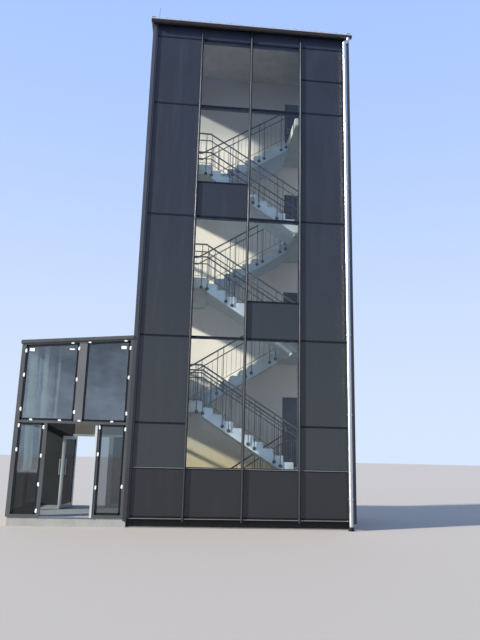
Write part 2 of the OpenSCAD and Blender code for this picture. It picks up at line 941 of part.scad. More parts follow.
module well_railings_near() {
    color("#4a4d50")
    from_front()
    for (k = [0 : storeys - 1])
        translate([0, near_back + rail_stand_off, 0])
        mirror([0, 1, 0])
        railing([
            [right_turn_x, floor_level(k)], [near_foot_x + going, floor_level(k)],
            [near_top_x, half_level(k)], [left_turn_x, half_level(k)]
        ], [[], flight_pairs(near_top_x), []], [0, slope_drop, 0]);
}

module well_railings_far() {
    color("#4a4d50")
    from_front()
    translate([0, far_front - rail_stand_off, 0]) {
        railing([
            [far_foot_x(0), floor_z + short_rise], [far_top_x(0), floor_level(0)],
            [right_turn_x, floor_level(0)]
        ], [[
            far_foot_x(0) + end_pair, (far_foot_x(0) + far_top_x(0)) / 2, far_top_x(0) - end_pair
        ], []], [short_drop, 0]);
        for (k = [1 : storeys])
            railing([
                [left_turn_x, half_level(k - 1)], [far_foot_x(k) - going, half_level(k - 1)],
                [far_top_x(k), floor_level(k)], [right_turn_x, floor_level(k)]
            ], [[], flight_pairs(far_foot_x(k)), []], [0, slope_drop, 0]);
    }
}

// Porch

module porch_slab() {
    color("#8f8f8c")
    from_front()
    difference() {
        block([porch_left + slab_inset, slab_inset, 0],
            [-half_w + corner_step_w - band_t, porch_d, floor_z]);
        block([-half_w, wall_v, -eps], [0, tower_d, floor_z + eps]);
    }
}

// Opening with upright sides and a top that follows the porch roof
module sloped_field(x0, x1, z)
    polygon([
        [x0, z], [x1, z],
        [x1, porch_under(x1) - top_rail_h], [x0, porch_under(x0) - top_rail_h]
    ]);

module field(x0, x1, z0, z1) translate([x0, z0]) square([x1 - x0, z1 - z0]);

doorway_x0 = porch_left + porch_post_w + left_light_w + left_jamb_w;
doorway_x1 = -half_w - porch_end_w - right_light_w - right_jamb_w;
upper_post_x = porch_left + porch_post_w + upper_light_w;

module front_light_fields() {
    field(porch_left + porch_post_w, doorway_x0 - left_jamb_w,
        floor_z + bottom_rail_h, porch_rail_z);
    field(doorway_x1 + right_jamb_w, -half_w - porch_end_w,
        floor_z + bottom_rail_h, porch_rail_z);
    sloped_field(porch_left + porch_post_w, upper_post_x, upper_light_z);
    sloped_field(upper_post_x + upper_post_w, -half_w - porch_end_w, upper_light_z);
}

module porch_front_frame() {
    color("#55514c")
    from_front()
    extrude_back(porch_frame_d)
    difference() {
        polygon([
            [porch_left, floor_z], [-half_w, floor_z],
            [-half_w, frame_top(-half_w)], [porch_left, frame_top(porch_left)]
        ]);
        front_light_fields();
        field(doorway_x0, doorway_x1, floor_z - eps, porch_rail_z);
    }
}

side_light_z = porch_under(porch_left) - top_rail_h;
side_light_mid = (porch_frame_d + porch_d) / 2;

module side_light_fields()
    for (v = [porch_frame_d + porch_end_w, side_light_mid + porch_end_w / 2]) {
        far_end = v < side_light_mid ? side_light_mid - porch_end_w / 2 : porch_d - porch_end_w;
        field(v, far_end, floor_z + bottom_rail_h, porch_rail_z);
        field(v, far_end, upper_light_z, side_light_z);
    }

module on_porch_side()
    translate([porch_left, 0, 0])
    mirror([1, -1, 0])
    children();

module porch_side_frame() {
    color("#55514c")
    from_front()
    on_porch_side()
    extrude_back(porch_frame_d)
    difference() {
        field(porch_frame_d, porch_d, floor_z, frame_top(porch_left));
        side_light_fields();
    }
}

module porch_glass() {
    glass_v = (porch_frame_d - porch_glass_t) / 2;
    color("#a4b3b2", 0.45)
    from_front() {
        translate([0, glass_v, 0]) extrude_back(porch_glass_t) front_light_fields();
        on_porch_side()
        translate([0, glass_v, 0])
        extrude_back(porch_glass_t)
        side_light_fields();
    }
}

module porch_roof() {
    over = 25;
    color("#5b5d60")
    from_front()
    translate([0, -over, 0])
    extrude_back(porch_d + over)
    polygon([
        [porch_left - over, porch_under(porch_left - over)], [-half_w, porch_under(-half_w)],
        [-half_w, porch_top(-half_w)], [porch_left - over, porch_top(porch_left - over)]
    ]);
}

screen_x1 = -half_w - screen_inset;
screen_x0 = screen_x1 - screen_w;
screen_top = floor_z + screen_h;
hinge_x = screen_x0 + screen_bar;
hinge_v = wall_v - 10;
inner_post_x = hinge_x + inner_door_w;

module porch_back_wall() {
    color("#d9d3c2")
    from_front()
    translate([0, wall_v, 0])
    extrude_back(porch_d - wall_v)
    difference() {
        polygon([
            [porch_left + porch_frame_d, floor_z], [-half_w, floor_z],
            [-half_w, frame_top(-half_w)],
            [porch_left + porch_frame_d, frame_top(porch_left + porch_frame_d)]
        ]);
        field(screen_x0, screen_x1, floor_z - eps, screen_top);
    }
}

module screen_light()
    field(inner_post_x + screen_post_w, screen_x1 - screen_bar,
        floor_z + bottom_rail_h, screen_top - screen_bar);

hinge_levels = [floor_z + 200, floor_z + 900, floor_z + screen_h - screen_bar - 300];
strap_l = 45;
strap_t = 5;

module inner_screen() {
    color("#d5d8d6")
    from_front() {
        translate([0, wall_v, 0])
        extrude_back(screen_d)
        difference() {
            field(screen_x0, screen_x1, floor_z, screen_top);
            field(hinge_x, inner_post_x, floor_z - eps, screen_top - screen_bar);
            screen_light();
        }
        for (z = hinge_levels)
            translate([hinge_x, hinge_v, z]) {
                cylinder(h = knuckle_h, d = knuckle_dia, $fn = 24);
                block([-strap_l, wall_v - hinge_v - strap_t, 0], [0, wall_v - hinge_v, knuckle_h]);
            }
    }
}

module inner_screen_glass() {
    color("#a4b3b2", 0.45)
    from_front()
    translate([0, wall_v + (screen_d - porch_glass_t) / 2, 0])
    extrude_back(porch_glass_t)
    screen_light();
}

// The inner door is drawn shut, with its hinge axis on Z, then turned open
module as_open_door()
    from_front()
    translate([hinge_x, hinge_v, 0])
    rotate([0, 0, -open_angle])
    children();

leaf_z0 = floor_z + leaf_gap;
leaf_z1 = screen_top - screen_bar - leaf_gap;
leaf_x1 = inner_door_w - leaf_gap - 2;
leaf_v = wall_v - hinge_v;

module leaf_light()
    field(leaf_gap + inner_stile_w, leaf_x1 - inner_stile_w,
        leaf_z0 + inner_stile_w, leaf_z1 - inner_stile_w);

module inner_door() {
    color("#d5d8d6")
    as_open_door() {
        translate([0, leaf_v, 0])
        extrude_back(inner_leaf_t)
        difference() {
            field(leaf_gap, leaf_x1, leaf_z0, leaf_z1);
            leaf_light();
        }
        for (z = hinge_levels)
            translate([0, 0, z + knuckle_h + seat_gap]) {
                cylinder(h = knuckle_h, d = knuckle_dia, $fn = 24);
                block([0, leaf_v - strap_t, 0], [strap_l, leaf_v, knuckle_h]);
            }
    }
}

module inner_door_glass() {
    color("#a4b3b2", 0.45)
    as_open_door()
    translate([0, leaf_v + (inner_leaf_t - porch_glass_t) / 2, 0])
    extrude_back(porch_glass_t)
    leaf_light();
}

module inner_door_handle() {
    grip_dia = 25;
    grip_l = 400;
    grip_z = floor_z + handle_h;
    reach = 55;
    handle_x = leaf_x1 - inner_stile_w / 2;
    color("#b8bbbd")
    as_open_door()
    for (side = [-1, 1])
        translate([handle_x, leaf_v + inner_leaf_t / 2, grip_z])
        mirror([0, side < 0 ? 1 : 0, 0]) {
            translate([0, inner_leaf_t / 2 + reach, 0])
            cylinder(h = grip_l, d = grip_dia, $fn = 24);
            for (z = [grip_dia, grip_l - grip_dia])
                translate([0, inner_leaf_t / 2, z])
                rotate([-90, 0, 0])
                cylinder(h = reach, d = grip_dia * 0.7, $fn = 24);
        }
}

base_slab();
plinth_band();
front_mullions();
front_transoms();
left_bay_panels();
right_bay_panels();
centre_panels();
front_glass();
fascia_panels();
left_wall_frame();
left_wall_panels();
left_wall_glass();
right_wall_frame();
right_wall_panels();
right_wall_glass();
back_wall();
landing_doors();
landing_door_frames();
roof();
gutter();
gutter_brackets();
downpipe();
downpipe_clamps();
lightning_rod();
flight_1();
flight_2();
flight_3();
flight_4();
flight_5();
flight_6();
flight_7();
floor_landings();
half_landings();
front_railings();
well_railings_near();
well_railings_far();
porch_slab();
porch_front_frame();
porch_side_frame();
porch_glass();
porch_roof();
porch_back_wall();
inner_screen();
inner_screen_glass();
inner_door();
inner_door_glass();
inner_door_handle();
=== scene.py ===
"""Dresses the stair tower: finishes for every CAD node, and the small parts on them."""
import math
import random

import bmesh
import bpy
from mathutils import Matrix, Vector, kdtree


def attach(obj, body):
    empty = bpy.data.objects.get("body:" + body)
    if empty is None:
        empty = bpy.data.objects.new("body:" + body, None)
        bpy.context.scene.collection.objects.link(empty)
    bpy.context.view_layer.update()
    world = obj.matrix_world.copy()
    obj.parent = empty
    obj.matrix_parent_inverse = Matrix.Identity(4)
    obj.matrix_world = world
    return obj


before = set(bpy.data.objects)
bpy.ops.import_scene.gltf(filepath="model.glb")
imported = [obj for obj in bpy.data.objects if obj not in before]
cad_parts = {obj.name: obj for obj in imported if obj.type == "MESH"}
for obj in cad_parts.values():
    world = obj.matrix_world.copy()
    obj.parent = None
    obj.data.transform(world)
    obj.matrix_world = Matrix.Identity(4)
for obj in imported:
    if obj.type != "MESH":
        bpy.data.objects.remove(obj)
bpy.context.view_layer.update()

# Sizes that the source gives, in metres. V is measured back from the front caps.
FRONT_Y = -1.525
HALF_W = 2.75
FLOOR_Z = 0.205
LANDING_Z = 1.37
STOREY = 3.18
STOREYS = 3
EAVES_Z = 13.30
GLASS_TOP = 12.91
CAP_W = 0.05
CAP_D = 0.06
CORNER_CAP = 0.14
JOINT_W = 0.03
POST_W = 0.06
POST_BACK = 0.215
WALL_V = 2.81
NEAR_EDGE = 0.39
NEAR_BACK = 1.37
FAR_FRONT = 1.50
NEAR_FOOT_X = 1.29
GOING = 0.253
RISERS = 10
RISE = STOREY / (2 * RISERS)
PORCH_LEFT = -5.37
DOOR_X = 1.40
DOOR_W = 0.90
DOOR_H = 1.96
DOOR_FRAME_W = 0.05
ROOF_PITCH = math.radians(6)

RIGHT, BACK, UP = (1, 0, 0), (0, 1, 0), (0, 0, 1)
FORWARD = (0, -1, 0)


def at(x, v, z):
    """A place given by its distance v behind the front caps."""
    return Vector((x, FRONT_Y + v, z))


def floor_level(k):
    return LANDING_Z + k * STOREY


def floor_joint(k):
    """Middle of the joint under a floor landing's level."""
    return floor_level(k) - POST_W / 2


# Camera, from the posts and joints in the photo

CAMERA_AT = (-1.441, -15.924, 1.837)
CAMERA_TURNS = (-5.11, 12.25, -1.42)
FOCAL_PIXELS = 591
PHOTO_HEIGHT = 640
SENSOR = 36


def add_camera():
    yaw, pitch, roll = (math.radians(a) for a in CAMERA_TURNS)
    turn = Matrix(((math.cos(yaw), math.sin(yaw), 0), (-math.sin(yaw), math.cos(yaw), 0),
                   (0, 0, 1)))
    tilt = Matrix(((1, 0, 0), (0, math.cos(pitch), math.sin(pitch)),
                   (0, -math.sin(pitch), math.cos(pitch))))
    lean = Matrix(((math.cos(roll), 0, -math.sin(roll)), (0, 1, 0),
                   (math.sin(roll), 0, math.cos(roll))))
    right, ahead, up = lean @ tilt @ turn
    data = bpy.data.cameras.new("camera")
    data.sensor_width = SENSOR
    data.lens = FOCAL_PIXELS / PHOTO_HEIGHT * SENSOR
    camera = bpy.data.objects.new("camera", data)
    camera.matrix_world = (Matrix.Translation(CAMERA_AT)
                           @ Matrix((right, up, -ahead)).transposed().to_4x4())
    bpy.context.collection.objects.link(camera)
    bpy.context.scene.camera = camera


add_camera()


# Finishes

# Sockets of a Mix node that takes colours
MIX_FACTOR, MIX_LOW, MIX_HIGH, MIX_RESULT = 0, 6, 7, 2

# Where a finish changes: the start and the end of each change, along X or Z
# Painted reflection of the ground on the low sheets fades out between these heights
GROUND_REFLECTION_FADE = (1.5, 9.0)
# Painted warm bounce light at the wall's foot, and painted shade at its top
WALL_BOUNCE_FADE = (1.3, 2.9)
WALL_SHADE_FADE = (10.9, 11.9)
# Painted reflections and painted shade on the porch's panes start and end here
LEFT_PANES_EDGE = (-4.5, -4.1)
REFLECTION_FOOT = (1.22, 1.28)
REFLECTION_FADE = (3.5, 4.1)
LOW_SHADE_TOP = (1.15, 1.28)
UPPER_LIGHTS = (2.33, 2.36)
SHEEN_FADE = (2.3, 4.5)
# Painted sunlight on the lintel over the inner screen
SUNLIT_LINTEL_FOOT = (2.10, 2.11)
SUNLIT_LINTEL_TOP = (2.44, 2.46)
SUNLIT_LINTEL_LEFT = (-4.47, -4.46)
SPLASH_TOP = (0.01, 0.07)
# Painted highlight on the gutter's bead starts here
GUTTER_HIGHLIGHT = (13.272, 13.275)

# Where a band lies: left and right of the two painted reflections on the porch's panes, and
# foot and top of the painted shadow under the gutter's bead
WIDE_REFLECTION = (-4.99, -4.86)
THIN_REFLECTION = (-4.66, -4.61)
GUTTER_BEAD_SHADOW = (13.248, 13.271)

# Left, right, foot and top of the parts in another tone: painted shade on the front's middle
# posts, and a lighter tone on the porch's post
SHADED_MIDDLE_POSTS = (-2.5, 2.5, 0.0, 14.0)
PORCH_POST = (-4.06, -3.81, 2.37, 4.22)

PANE_SHEEN = (0.92, 0.95, 0.97)


class Term:
    """An output in a finish's node tree, used in plain arithmetic."""

    def __init__(self, finish, socket):
        self.finish = finish
        self.socket = socket

    def _math(self, operation, first, second):
        return self.finish.node("ShaderNodeMath", {"operation": operation}, {0: first, 1: second})

    def __add__(self, other):
        return self._math("ADD", self, other)

    __radd__ = __add__

    def __sub__(self, other):
        return self._math("SUBTRACT", self, other)

    def __rsub__(self, other):
        return self._math("SUBTRACT", other, self)

    def __mul__(self, other):
        return self._math("MULTIPLY", self, other)

    __rmul__ = __mul__

    def __truediv__(self, other):
        return self._math("DIVIDE", self, other)

    def __rtruediv__(self, other):
        return self._math("DIVIDE", other, self)

    def __pow__(self, other):
        return self._math("POWER", self, other)

    def __rpow__(self, other):
        return self._math("POWER", other, self)

    def __gt__(self, other):
        return self._math("GREATER_THAN", self, other)

    def __lt__(self, other):
        return self._math("LESS_THAN", self, other)

    def clamp(self):
        return self._math("MAXIMUM", self._math("MINIMUM", self, 1), 0)

    def step(self, low, high):
        """0 under low, 1 over high and a soft step between."""
        return self.finish.node("ShaderNodeMapRange", {"interpolation_type": "SMOOTHSTEP"},
                                {"Value": self, "From Min": low, "From Max": high})


class Graph:
    """A node tree that is put together in code."""

    def __init__(self, tree, place):
        self.tree = tree
        self.place = self.node("ShaderNodeTexCoord", out=place)

    def node(self, kind, settings=None, sockets=None, out=0):
        """Adds a node: its type, then its settings, then the values or links of its sockets."""
        made = self.tree.nodes.new(kind)
        for name, value in (settings or {}).items():
            setattr(made, name, value)
        for name, value in (sockets or {}).items():
            self.feed(made.inputs[name], value)
        return Term(self, made.outputs[out])

    def feed(self, socket, value):
        if isinstance(value, Term):
            self.tree.links.new(value.socket, socket)
        elif socket.type == "RGBA" and len(value) == 3:
            socket.default_value = (*value, 1)
        else:
            socket.default_value = value

    def axis(self, name):
        return self.node("ShaderNodeSeparateXYZ", {}, {0: self.place}, name)

    def mix(self, low, high, factor):
        return self.node("ShaderNodeMix", {"data_type": "RGBA"},
                         {MIX_FACTOR: factor, MIX_LOW: low, MIX_HIGH: high}, MIX_RESULT)


class Finish(Graph):
    """A material with a Principled shader."""

    def __init__(self, name, color, roughness, **constants):
        self.material = bpy.data.materials.new(name)
        self.material.use_nodes = True
        super().__init__(self.material.node_tree, "Object")
        self.shader = self.tree.nodes["Principled BSDF"]
        self.set("Base Color", color)
        self.set("Roughness", roughness)
        for name, value in constants.items():
            self.set(name.replace("_", " ").title().replace("Ior", "IOR"), value)

    def set(self, name, value):
        self.feed(self.shader.inputs[name], value)

    def noise(self, scale, detail=3, roughness=0.5, stretch=None):
        where = self.place
        if stretch:
            where = self.node("ShaderNodeVectorMath", {"operation": "MULTIPLY"},
                              {0: where, 1: stretch})
        return self.node("ShaderNodeTexNoise", {},
                         {"Vector": where, "Scale": scale, "Detail": detail,
                          "Roughness": roughness})

    def cells(self, scale):
        """Distance to the nearest of many scattered points."""
        return self.node("ShaderNodeTexVoronoi", {}, {"Vector": self.place, "Scale": scale},
                         "Distance")

    def bump(self, height, strength, distance):
        self.set("Normal", self.node("ShaderNodeBump", {},
                                     {"Height": height, "Strength": strength,
                                      "Distance": distance}))


def srgb(*parts):
    """Linear colour of a value from 0 to 255."""
    return tuple(((p / 255 + 0.055) / 1.055) ** 2.4 if p > 10 else p / 255 / 12.92
                 for p in parts)


def shaded(color, factor):
    return tuple(c * factor for c in color)


def band(value, low, high, soft):
    """1 between low and high, falling to 0 over a soft edge."""
    return value.step(low - soft, low) * (1 - value.step(high, high + soft))


def coated_metal(name, color, roughness, metallic=0.0, streak=0.18, gloss=0.5, other_tone=None,
                 ground_reflection=None):
    """Powder coat: a fine orange peel, slow waves in the sheet and faint rain streaks.
    A part with another tone is given by its limits and that tone's colour; on the front's middle
    posts it is painted shade.
    Two colours, for the foot and for the sheets over it, paint the warm ground's reflection low
    down, fading upwards."""
    f = Finish(name, color, roughness, specular_ior_level=gloss)
    cloud = f.noise(0.9, 2).step(0.35, 0.65)
    rain = f.noise(5.0, 4, 0.6, (1, 1, 0.10)).step(0.45, 0.72)
    dust = f.noise(70, 3, 0.6).step(0.40, 0.80)
    tone = f.mix(shaded(color, 0.88), shaded(color, 1.14), cloud)
    tone = f.mix(tone, shaded(color, 1.9), rain * streak)
    tone = f.mix(tone, shaded(color, 2.2), dust * 0.06)
    # Another tone inside given limits: painted shade on the front's middle posts
    if other_tone:
        (left, right, foot, top), other = other_tone
        across, height = f.axis("X"), f.axis("Z")
        inside = (across > left) * (across < right) * (height > foot) * (height < top)
        tone = f.mix(tone, f.mix(shaded(other, 0.9), shaded(other, 1.12), cloud), inside)
    # Painted reflection of the warm ground on the lower sheets, fading upwards
    if ground_reflection:
        height = f.axis("Z")
        low_painted_light = f.mix(ground_reflection[0], ground_reflection[1], height > floor_joint(0))
        tone = f.mix(tone, low_painted_light, (1 - height.step(*GROUND_REFLECTION_FADE)) * 0.85)
    f.set("Base Color", tone)
    f.set("Roughness", roughness + rain * 0.10 - cloud * 0.05)
    f.set("Metallic", metallic)
    f.bump(f.noise(450, 2) * 0.25 + f.noise(1.3, 1), 0.22, 0.003)
    return f


def glazing(name, tint, sheen, reflection_streaks=0.0, edge=0.9):
    """Clear panes: what lies behind shows through, with a sheen that grows at low angles.
    The third argument sets the strength of pale upright painted reflections on the porch's panes.
    Those panes also get painted shade, as a dark film low down at their left and an even dark
    veil all over their front, and painted cloud reflections on their upper lights."""
    f = Finish(name, PANE_SHEEN, 0.03, metallic=1.0)
    clear = f.node("ShaderNodeBsdfTransparent", {}, {"Color": tint})
    grazing = f.node("ShaderNodeLayerWeight", {}, {"Blend": 0.5}, "Facing")
    f.bump(f.noise(0.8, 1), 0.05, 0.004)
    haze = f.noise(1.6, 3).step(0.35, 0.8)
    share = grazing ** 5 * edge + sheen + haze * 0.015
    if reflection_streaks:
        across, height = f.axis("X"), f.axis("Z")
        front = f.axis("Y") < FRONT_Y + 0.1
        left = 1 - across.step(*LEFT_PANES_EDGE)
        # Painted reflections: pale upright bands on the porch's panes, strongest on the front
        wander = across + f.noise(0.9, 2) * 0.10 + height * 0.02
        reflection_bands = (band(wander, *WIDE_REFLECTION, 0.05) + band(wander, *THIN_REFLECTION, 0.05) * 0.6
                 + f.noise(9, 3, 0.6, (1, 1, 0.03)).step(0.50, 0.72) * left * 0.5)
        reflection_mask = (reflection_bands * height.step(*REFLECTION_FOOT) * (1 - height.step(*REFLECTION_FADE) * 0.8)
               * (front * 0.6 + 0.4)).clamp()
        # Painted shade: a dark film low on the left panes, over a view through them that lies in
        # shade
        low_painted_light = (1 - height.step(*LOW_SHADE_TOP)) * left * front
        f.set("Metallic", (1 - reflection_mask * 0.7 - low_painted_light).clamp())
        # Painted reflection: a brighter, cloudy sheen on the upper lights, fading upwards
        painted_clouds = f.noise(1.3, 4, 0.6, (1, 1, 1.7)).step(0.38, 0.66)
        upper = height.step(*UPPER_LIGHTS)
        painted_sky_reflection = upper * (1 - height.step(*SHEEN_FADE)) * 0.8 + upper * painted_clouds * 0.7
        # Painted shade: an even dark veil over the front panes, darkening the porch's inside seen
        # through them
        shade_veil = front * 0.30
        share = share + painted_sky_reflection * sheen + reflection_mask * reflection_streaks + low_painted_light * 0.35 + shade_veil
        pale = f.mix(PANE_SHEEN, srgb(160, 180, 182), reflection_mask)
        f.set("Base Color", f.mix(f.mix(pale, srgb(30, 36, 40), shade_veil / share),
                                  srgb(26, 28, 28), low_painted_light))
    mixed = f.node("ShaderNodeMixShader", {}, {0: share.clamp(), 1: clear,
                                               2: Term(f, f.shader.outputs["BSDF"])})
    f.feed(f.tree.nodes["Material Output"].inputs["Surface"], mixed)
    return f


def cast_concrete(name, color, pores):
    """Cast concrete: cloudy tone, stains that run down and small air holes with painted shade in
    them.
    """
    f = Finish(name, color, 0.75, specular_ior_level=0.35)
    cloud = f.noise(2.2, 5, 0.6).step(0.3, 0.7)
    stain = f.noise(7.0, 4, 0.65, (1, 1, 0.35)).step(0.50, 0.75)
    fine = f.noise(120, 3, 0.6)
    holes = f.cells(38).step(0.055, 0.10)
    keep = f.noise(9, 2).step(0.45, 0.60)
    # Painted shade in the air holes
    hole_shade = (1 - holes) * keep * pores
    tone = f.mix(shaded(color, 0.86), shaded(color, 1.10), cloud)
    tone = f.mix(tone, shaded(color, 0.72), stain * 0.35)
    tone = f.mix(tone, shaded(color, 1.12), fine.step(0.5, 0.8) * 0.3)
    f.set("Base Color", f.mix(tone, shaded(color, 0.30), hole_shade))
    f.set("Roughness", 0.68 + cloud * 0.14)
    f.bump(fine * 0.25 + f.noise(18, 3) * 0.35 - hole_shade * 1.2, 0.45, 0.003)
    return f


def render_coat(name, color, top, foot):
    """Mineral render: a rubbed grain with slow patches and thin run marks, with painted warm
    bounce light at the inside's foot and painted shade at its top."""
    f = Finish(name, color, 0.9, specular_ior_level=0.2)
    patch = f.noise(0.7, 4, 0.55).step(0.3, 0.7)
    grain = f.cells(210)
    rubbed = f.noise(60, 4, 0.7)
    runs = f.noise(4.0, 4, 0.6, (1, 1, 0.08)).step(0.55, 0.80)
    tone = f.mix(shaded(color, 0.97), shaded(color, 1.03), patch)
    tone = f.mix(tone, shaded(color, 0.80), rubbed.step(0.52, 0.70) * 0.30)
    tone = f.mix(tone, shaded(color, 0.85), runs * 0.14)
    # Painted shade at the inside's top and painted warm bounce light at its foot
    height, inside = f.axis("Z"), f.axis("Y") < FRONT_Y + WALL_V + 0.01
    tone = f.mix(tone, top, height.step(*WALL_SHADE_FADE) * inside)
    f.set("Base Color", f.mix(tone, foot, (1 - height.step(*WALL_BOUNCE_FADE)) * inside))
    f.set("Roughness", 0.86 + patch * 0.08)
    f.bump(grain * 0.7 + rubbed * 0.6, 0.6, 0.003)
    return f


def lobby_wall(name, color, sunlit_lintel):
    """Dark beside the inner screen, with a band of painted sunlight on the lintel over it."""
    f = Finish(name, color, 0.8, specular_ior_level=0.3)
    across, height = f.axis("X"), f.axis("Z")
    # Painted sunlight on the lintel over the inner screen
    sunlit_band = (height.step(*SUNLIT_LINTEL_FOOT) * (1 - height.step(*SUNLIT_LINTEL_TOP))
            * across.step(*SUNLIT_LINTEL_LEFT))
    rubbed = f.noise(60, 4, 0.7).step(0.45, 0.7)
    cloud = f.noise(1.4, 4).step(0.3, 0.7)
    tone = f.mix(color, sunlit_lintel, sunlit_band)
    tone = f.mix(tone, shaded(color, 0.7), cloud * 0.3)
    f.set("Base Color", f.mix(tone, shaded(sunlit_lintel, 0.8), rubbed * 0.12))
    f.set("Roughness", 0.72 + cloud * 0.15)
    f.bump(rubbed + f.noise(5, 2), 0.4, 0.003)
    return f


def zinc_sheet(name, color, roughness):
    """New zinc: soft spangle, long draw marks and a few dull spots."""
    f = Finish(name, color, roughness, metallic=1.0)
    spangle = f.cells(55).step(0.1, 0.7)
    drawn = f.noise(30, 3, 0.6, (1, 1, 0.04))
    dull = f.noise(3, 4).step(0.5, 0.75)
    tone = f.mix(shaded(color, 0.86), color, spangle)
    f.set("Base Color", f.mix(tone, shaded(color, 0.7), dull * 0.35))
    f.set("Roughness", roughness + dull * 0.22 + drawn * 0.10)
    f.bump(drawn * 0.5 + f.noise(4, 2), 0.12, 0.002)
    return f


def rubber(name, color):
    """Black rubber with a few pale specks."""
    f = Finish(name, color, 0.7, specular_ior_level=0.2)
    specks = f.noise(300, 2).step(0.4, 0.7)
    f.set("Base Color", f.mix(color, shaded(color, 2.4), specks * 0.5))
    f.set("Roughness", 0.62 + specks * 0.2)
    return f


def sealing_sheet(name, color):
    """Black sealing sheet: slight folds, and brown splashes at its foot."""
    f = Finish(name, color, 0.55, specular_ior_level=0.25)
    splash = ((1 - f.axis("Z").step(*SPLASH_TOP))
              * f.noise(25, 4, 0.7).step(0.48, 0.64))
    f.set("Base Color", f.mix(color, srgb(88, 72, 58), splash * 0.45))
    f.set("Roughness", 0.42 + splash * 0.4)
    f.bump(f.noise(6, 2, 0.5, (1, 1, 2.5)), 0.5, 0.012)
    return f


def coated_gutter(name, body, bead_highlight):
    """Brown coated gutter, with a painted highlight on its rolled bead over a band of painted
    shadow.
    """
    f = Finish(name, body, 0.42, metallic=0.15)
    height = f.axis("Z")
    rain = f.noise(9, 4, 0.6, (0.3, 1, 1)).step(0.45, 0.75)
    tone = f.mix(shaded(body, 0.85), shaded(body, 1.25), rain)
    # Painted shadow under the bead, then a painted highlight on the bead
    tone = f.mix(tone, shaded(body, 0.25), band(height, *GUTTER_BEAD_SHADOW, 0.003) * 0.9)
    f.set("Base Color", f.mix(tone, bead_highlight, height.step(*GUTTER_HIGHLIGHT)))
    f.set("Roughness", 0.36 + rain * 0.14)
    f.bump(f.noise(5, 2) + f.noise(200, 2) * 0.1, 0.15, 0.002)
    return f


def roof_sheet(name, color):
    """Coated roof sheet with dust that settles in slow streaks."""
    f = Finish(name, color, 0.5, metallic=0.3)
    dust = f.noise(3, 5, 0.6, (1, 0.25, 1)).step(0.45, 0.8)
    f.set("Base Color", f.mix(color, shaded(color, 1.7), dust * 0.4))
    f.set("Roughness", 0.42 + dust * 0.25)
    f.bump(f.noise(2.0, 1) + f.noise(260, 2) * 0.1, 0.2, 0.004)
    return f


def brushed_steel(name, color):
    """Steel with fine upright brush lines."""
    f = Finish(name, color, 0.3, metallic=1.0)
    lines = f.noise(40, 3, 0.7, (6, 6, 0.3))
    f.set("Base Color", f.mix(shaded(color, 0.85), color, lines))
    f.set("Roughness", 0.22 + lines * 0.2)
    f.bump(lines, 0.1, 0.0005)
    return f


# Painted shade on the front's middle posts, and the ground's reflection painted on the low sheets
FRAME = coated_metal("frame_coat", srgb(60, 62, 70), 0.34, streak=0.10,
                     other_tone=(SHADED_MIDDLE_POSTS, srgb(28, 33, 44)),
                     ground_reflection=(srgb(40, 40, 41), srgb(48, 49, 51)))
JOINT = coated_metal("joint_coat", srgb(18, 25, 40), 0.60, streak=0.03, gloss=0.15,
                     ground_reflection=(srgb(20, 20, 22), srgb(20, 23, 28)))
PANEL = coated_metal("panel_coat", srgb(28, 32, 42), 0.40,
                     ground_reflection=(srgb(30, 30, 30), srgb(43, 48, 48)))
FASCIA = coated_metal("fascia_coat", srgb(32, 38, 56), 0.45, gloss=0.35)
DOOR = coated_metal("door_coat", srgb(8, 17, 50), 0.45, streak=0.03, gloss=0.1)
RAIL = coated_metal("rail_coat", srgb(56, 58, 62), 0.40, streak=0.05, gloss=0.35)
ROSETTE = coated_metal("rosette_coat", srgb(20, 26, 44), 0.45, streak=0.0, gloss=0.3)
PORCH = coated_metal("porch_coat", srgb(68, 70, 70), 0.40, streak=0.12,
                     other_tone=(PORCH_POST, srgb(94, 96, 96)))
PORCH_CAP = coated_metal("porch_cap_coat", srgb(66, 66, 66), 0.40, streak=0.12)
LIGHT = coated_metal("light_coat", srgb(176, 180, 178), 0.35, streak=0.03)
CLIP = coated_metal("clip_white", srgb(236, 236, 232), 0.45, streak=0.0)
SILL = coated_metal("sill_metal", srgb(122, 120, 118), 0.45, metallic=0.5, streak=0.05)
CONCRETE = cast_concrete("slab_concrete", srgb(150, 150, 145), 0.7)
STAIR = cast_concrete("stair_concrete", srgb(176, 193, 200), 0.35)
LANDING = cast_concrete("landing_concrete", srgb(178, 188, 182), 0.35)
CEILING = cast_concrete("ceiling_board", srgb(160, 153, 138), 0.0)
# The last two colours: painted shade at the inside's top, painted warm bounce light at its foot
RENDER = render_coat("cream_render", srgb(236, 231, 218), srgb(176, 176, 172),
                     srgb(242, 220, 174))
# The lighter colour is painted sunlight on the lintel
LOBBY = lobby_wall("dark_lobby_wall", srgb(48, 48, 50), srgb(130, 124, 114))
ZINC = zinc_sheet("zinc", srgb(196, 200, 206), 0.32)
ROD = zinc_sheet("rod_metal", srgb(112, 124, 146), 0.6)
BRACKET = zinc_sheet("bracket_strap", srgb(104, 92, 80), 0.5)
# The pale colour is a painted highlight on the gutter's bead
GUTTER = coated_gutter("gutter_coat", srgb(58, 56, 64), srgb(206, 212, 222))
ROOF = roof_sheet("roof_coat", srgb(86, 89, 94))
PLINTH = sealing_sheet("sealing_sheet", srgb(8, 8, 9))
RUBBER = rubber("gasket_rubber", (0.006, 0.006, 0.007))
STEEL = brushed_steel("brushed_steel", srgb(190, 190, 188))
GLASS = glazing("tower_glass", (0.98, 0.985, 0.98), 0.028)
# Pale upright painted reflections, with painted shade low at the left and over the front
PORCH_GLASS = glazing("porch_glass", (0.82, 0.87, 0.88), 0.085, 0.24)
# Its nearly black tint is painted shade over what shows through the inner screen
SCREEN_GLASS = glazing("screen_glass", (0.12, 0.14, 0.135), 0.03, edge=0.25)

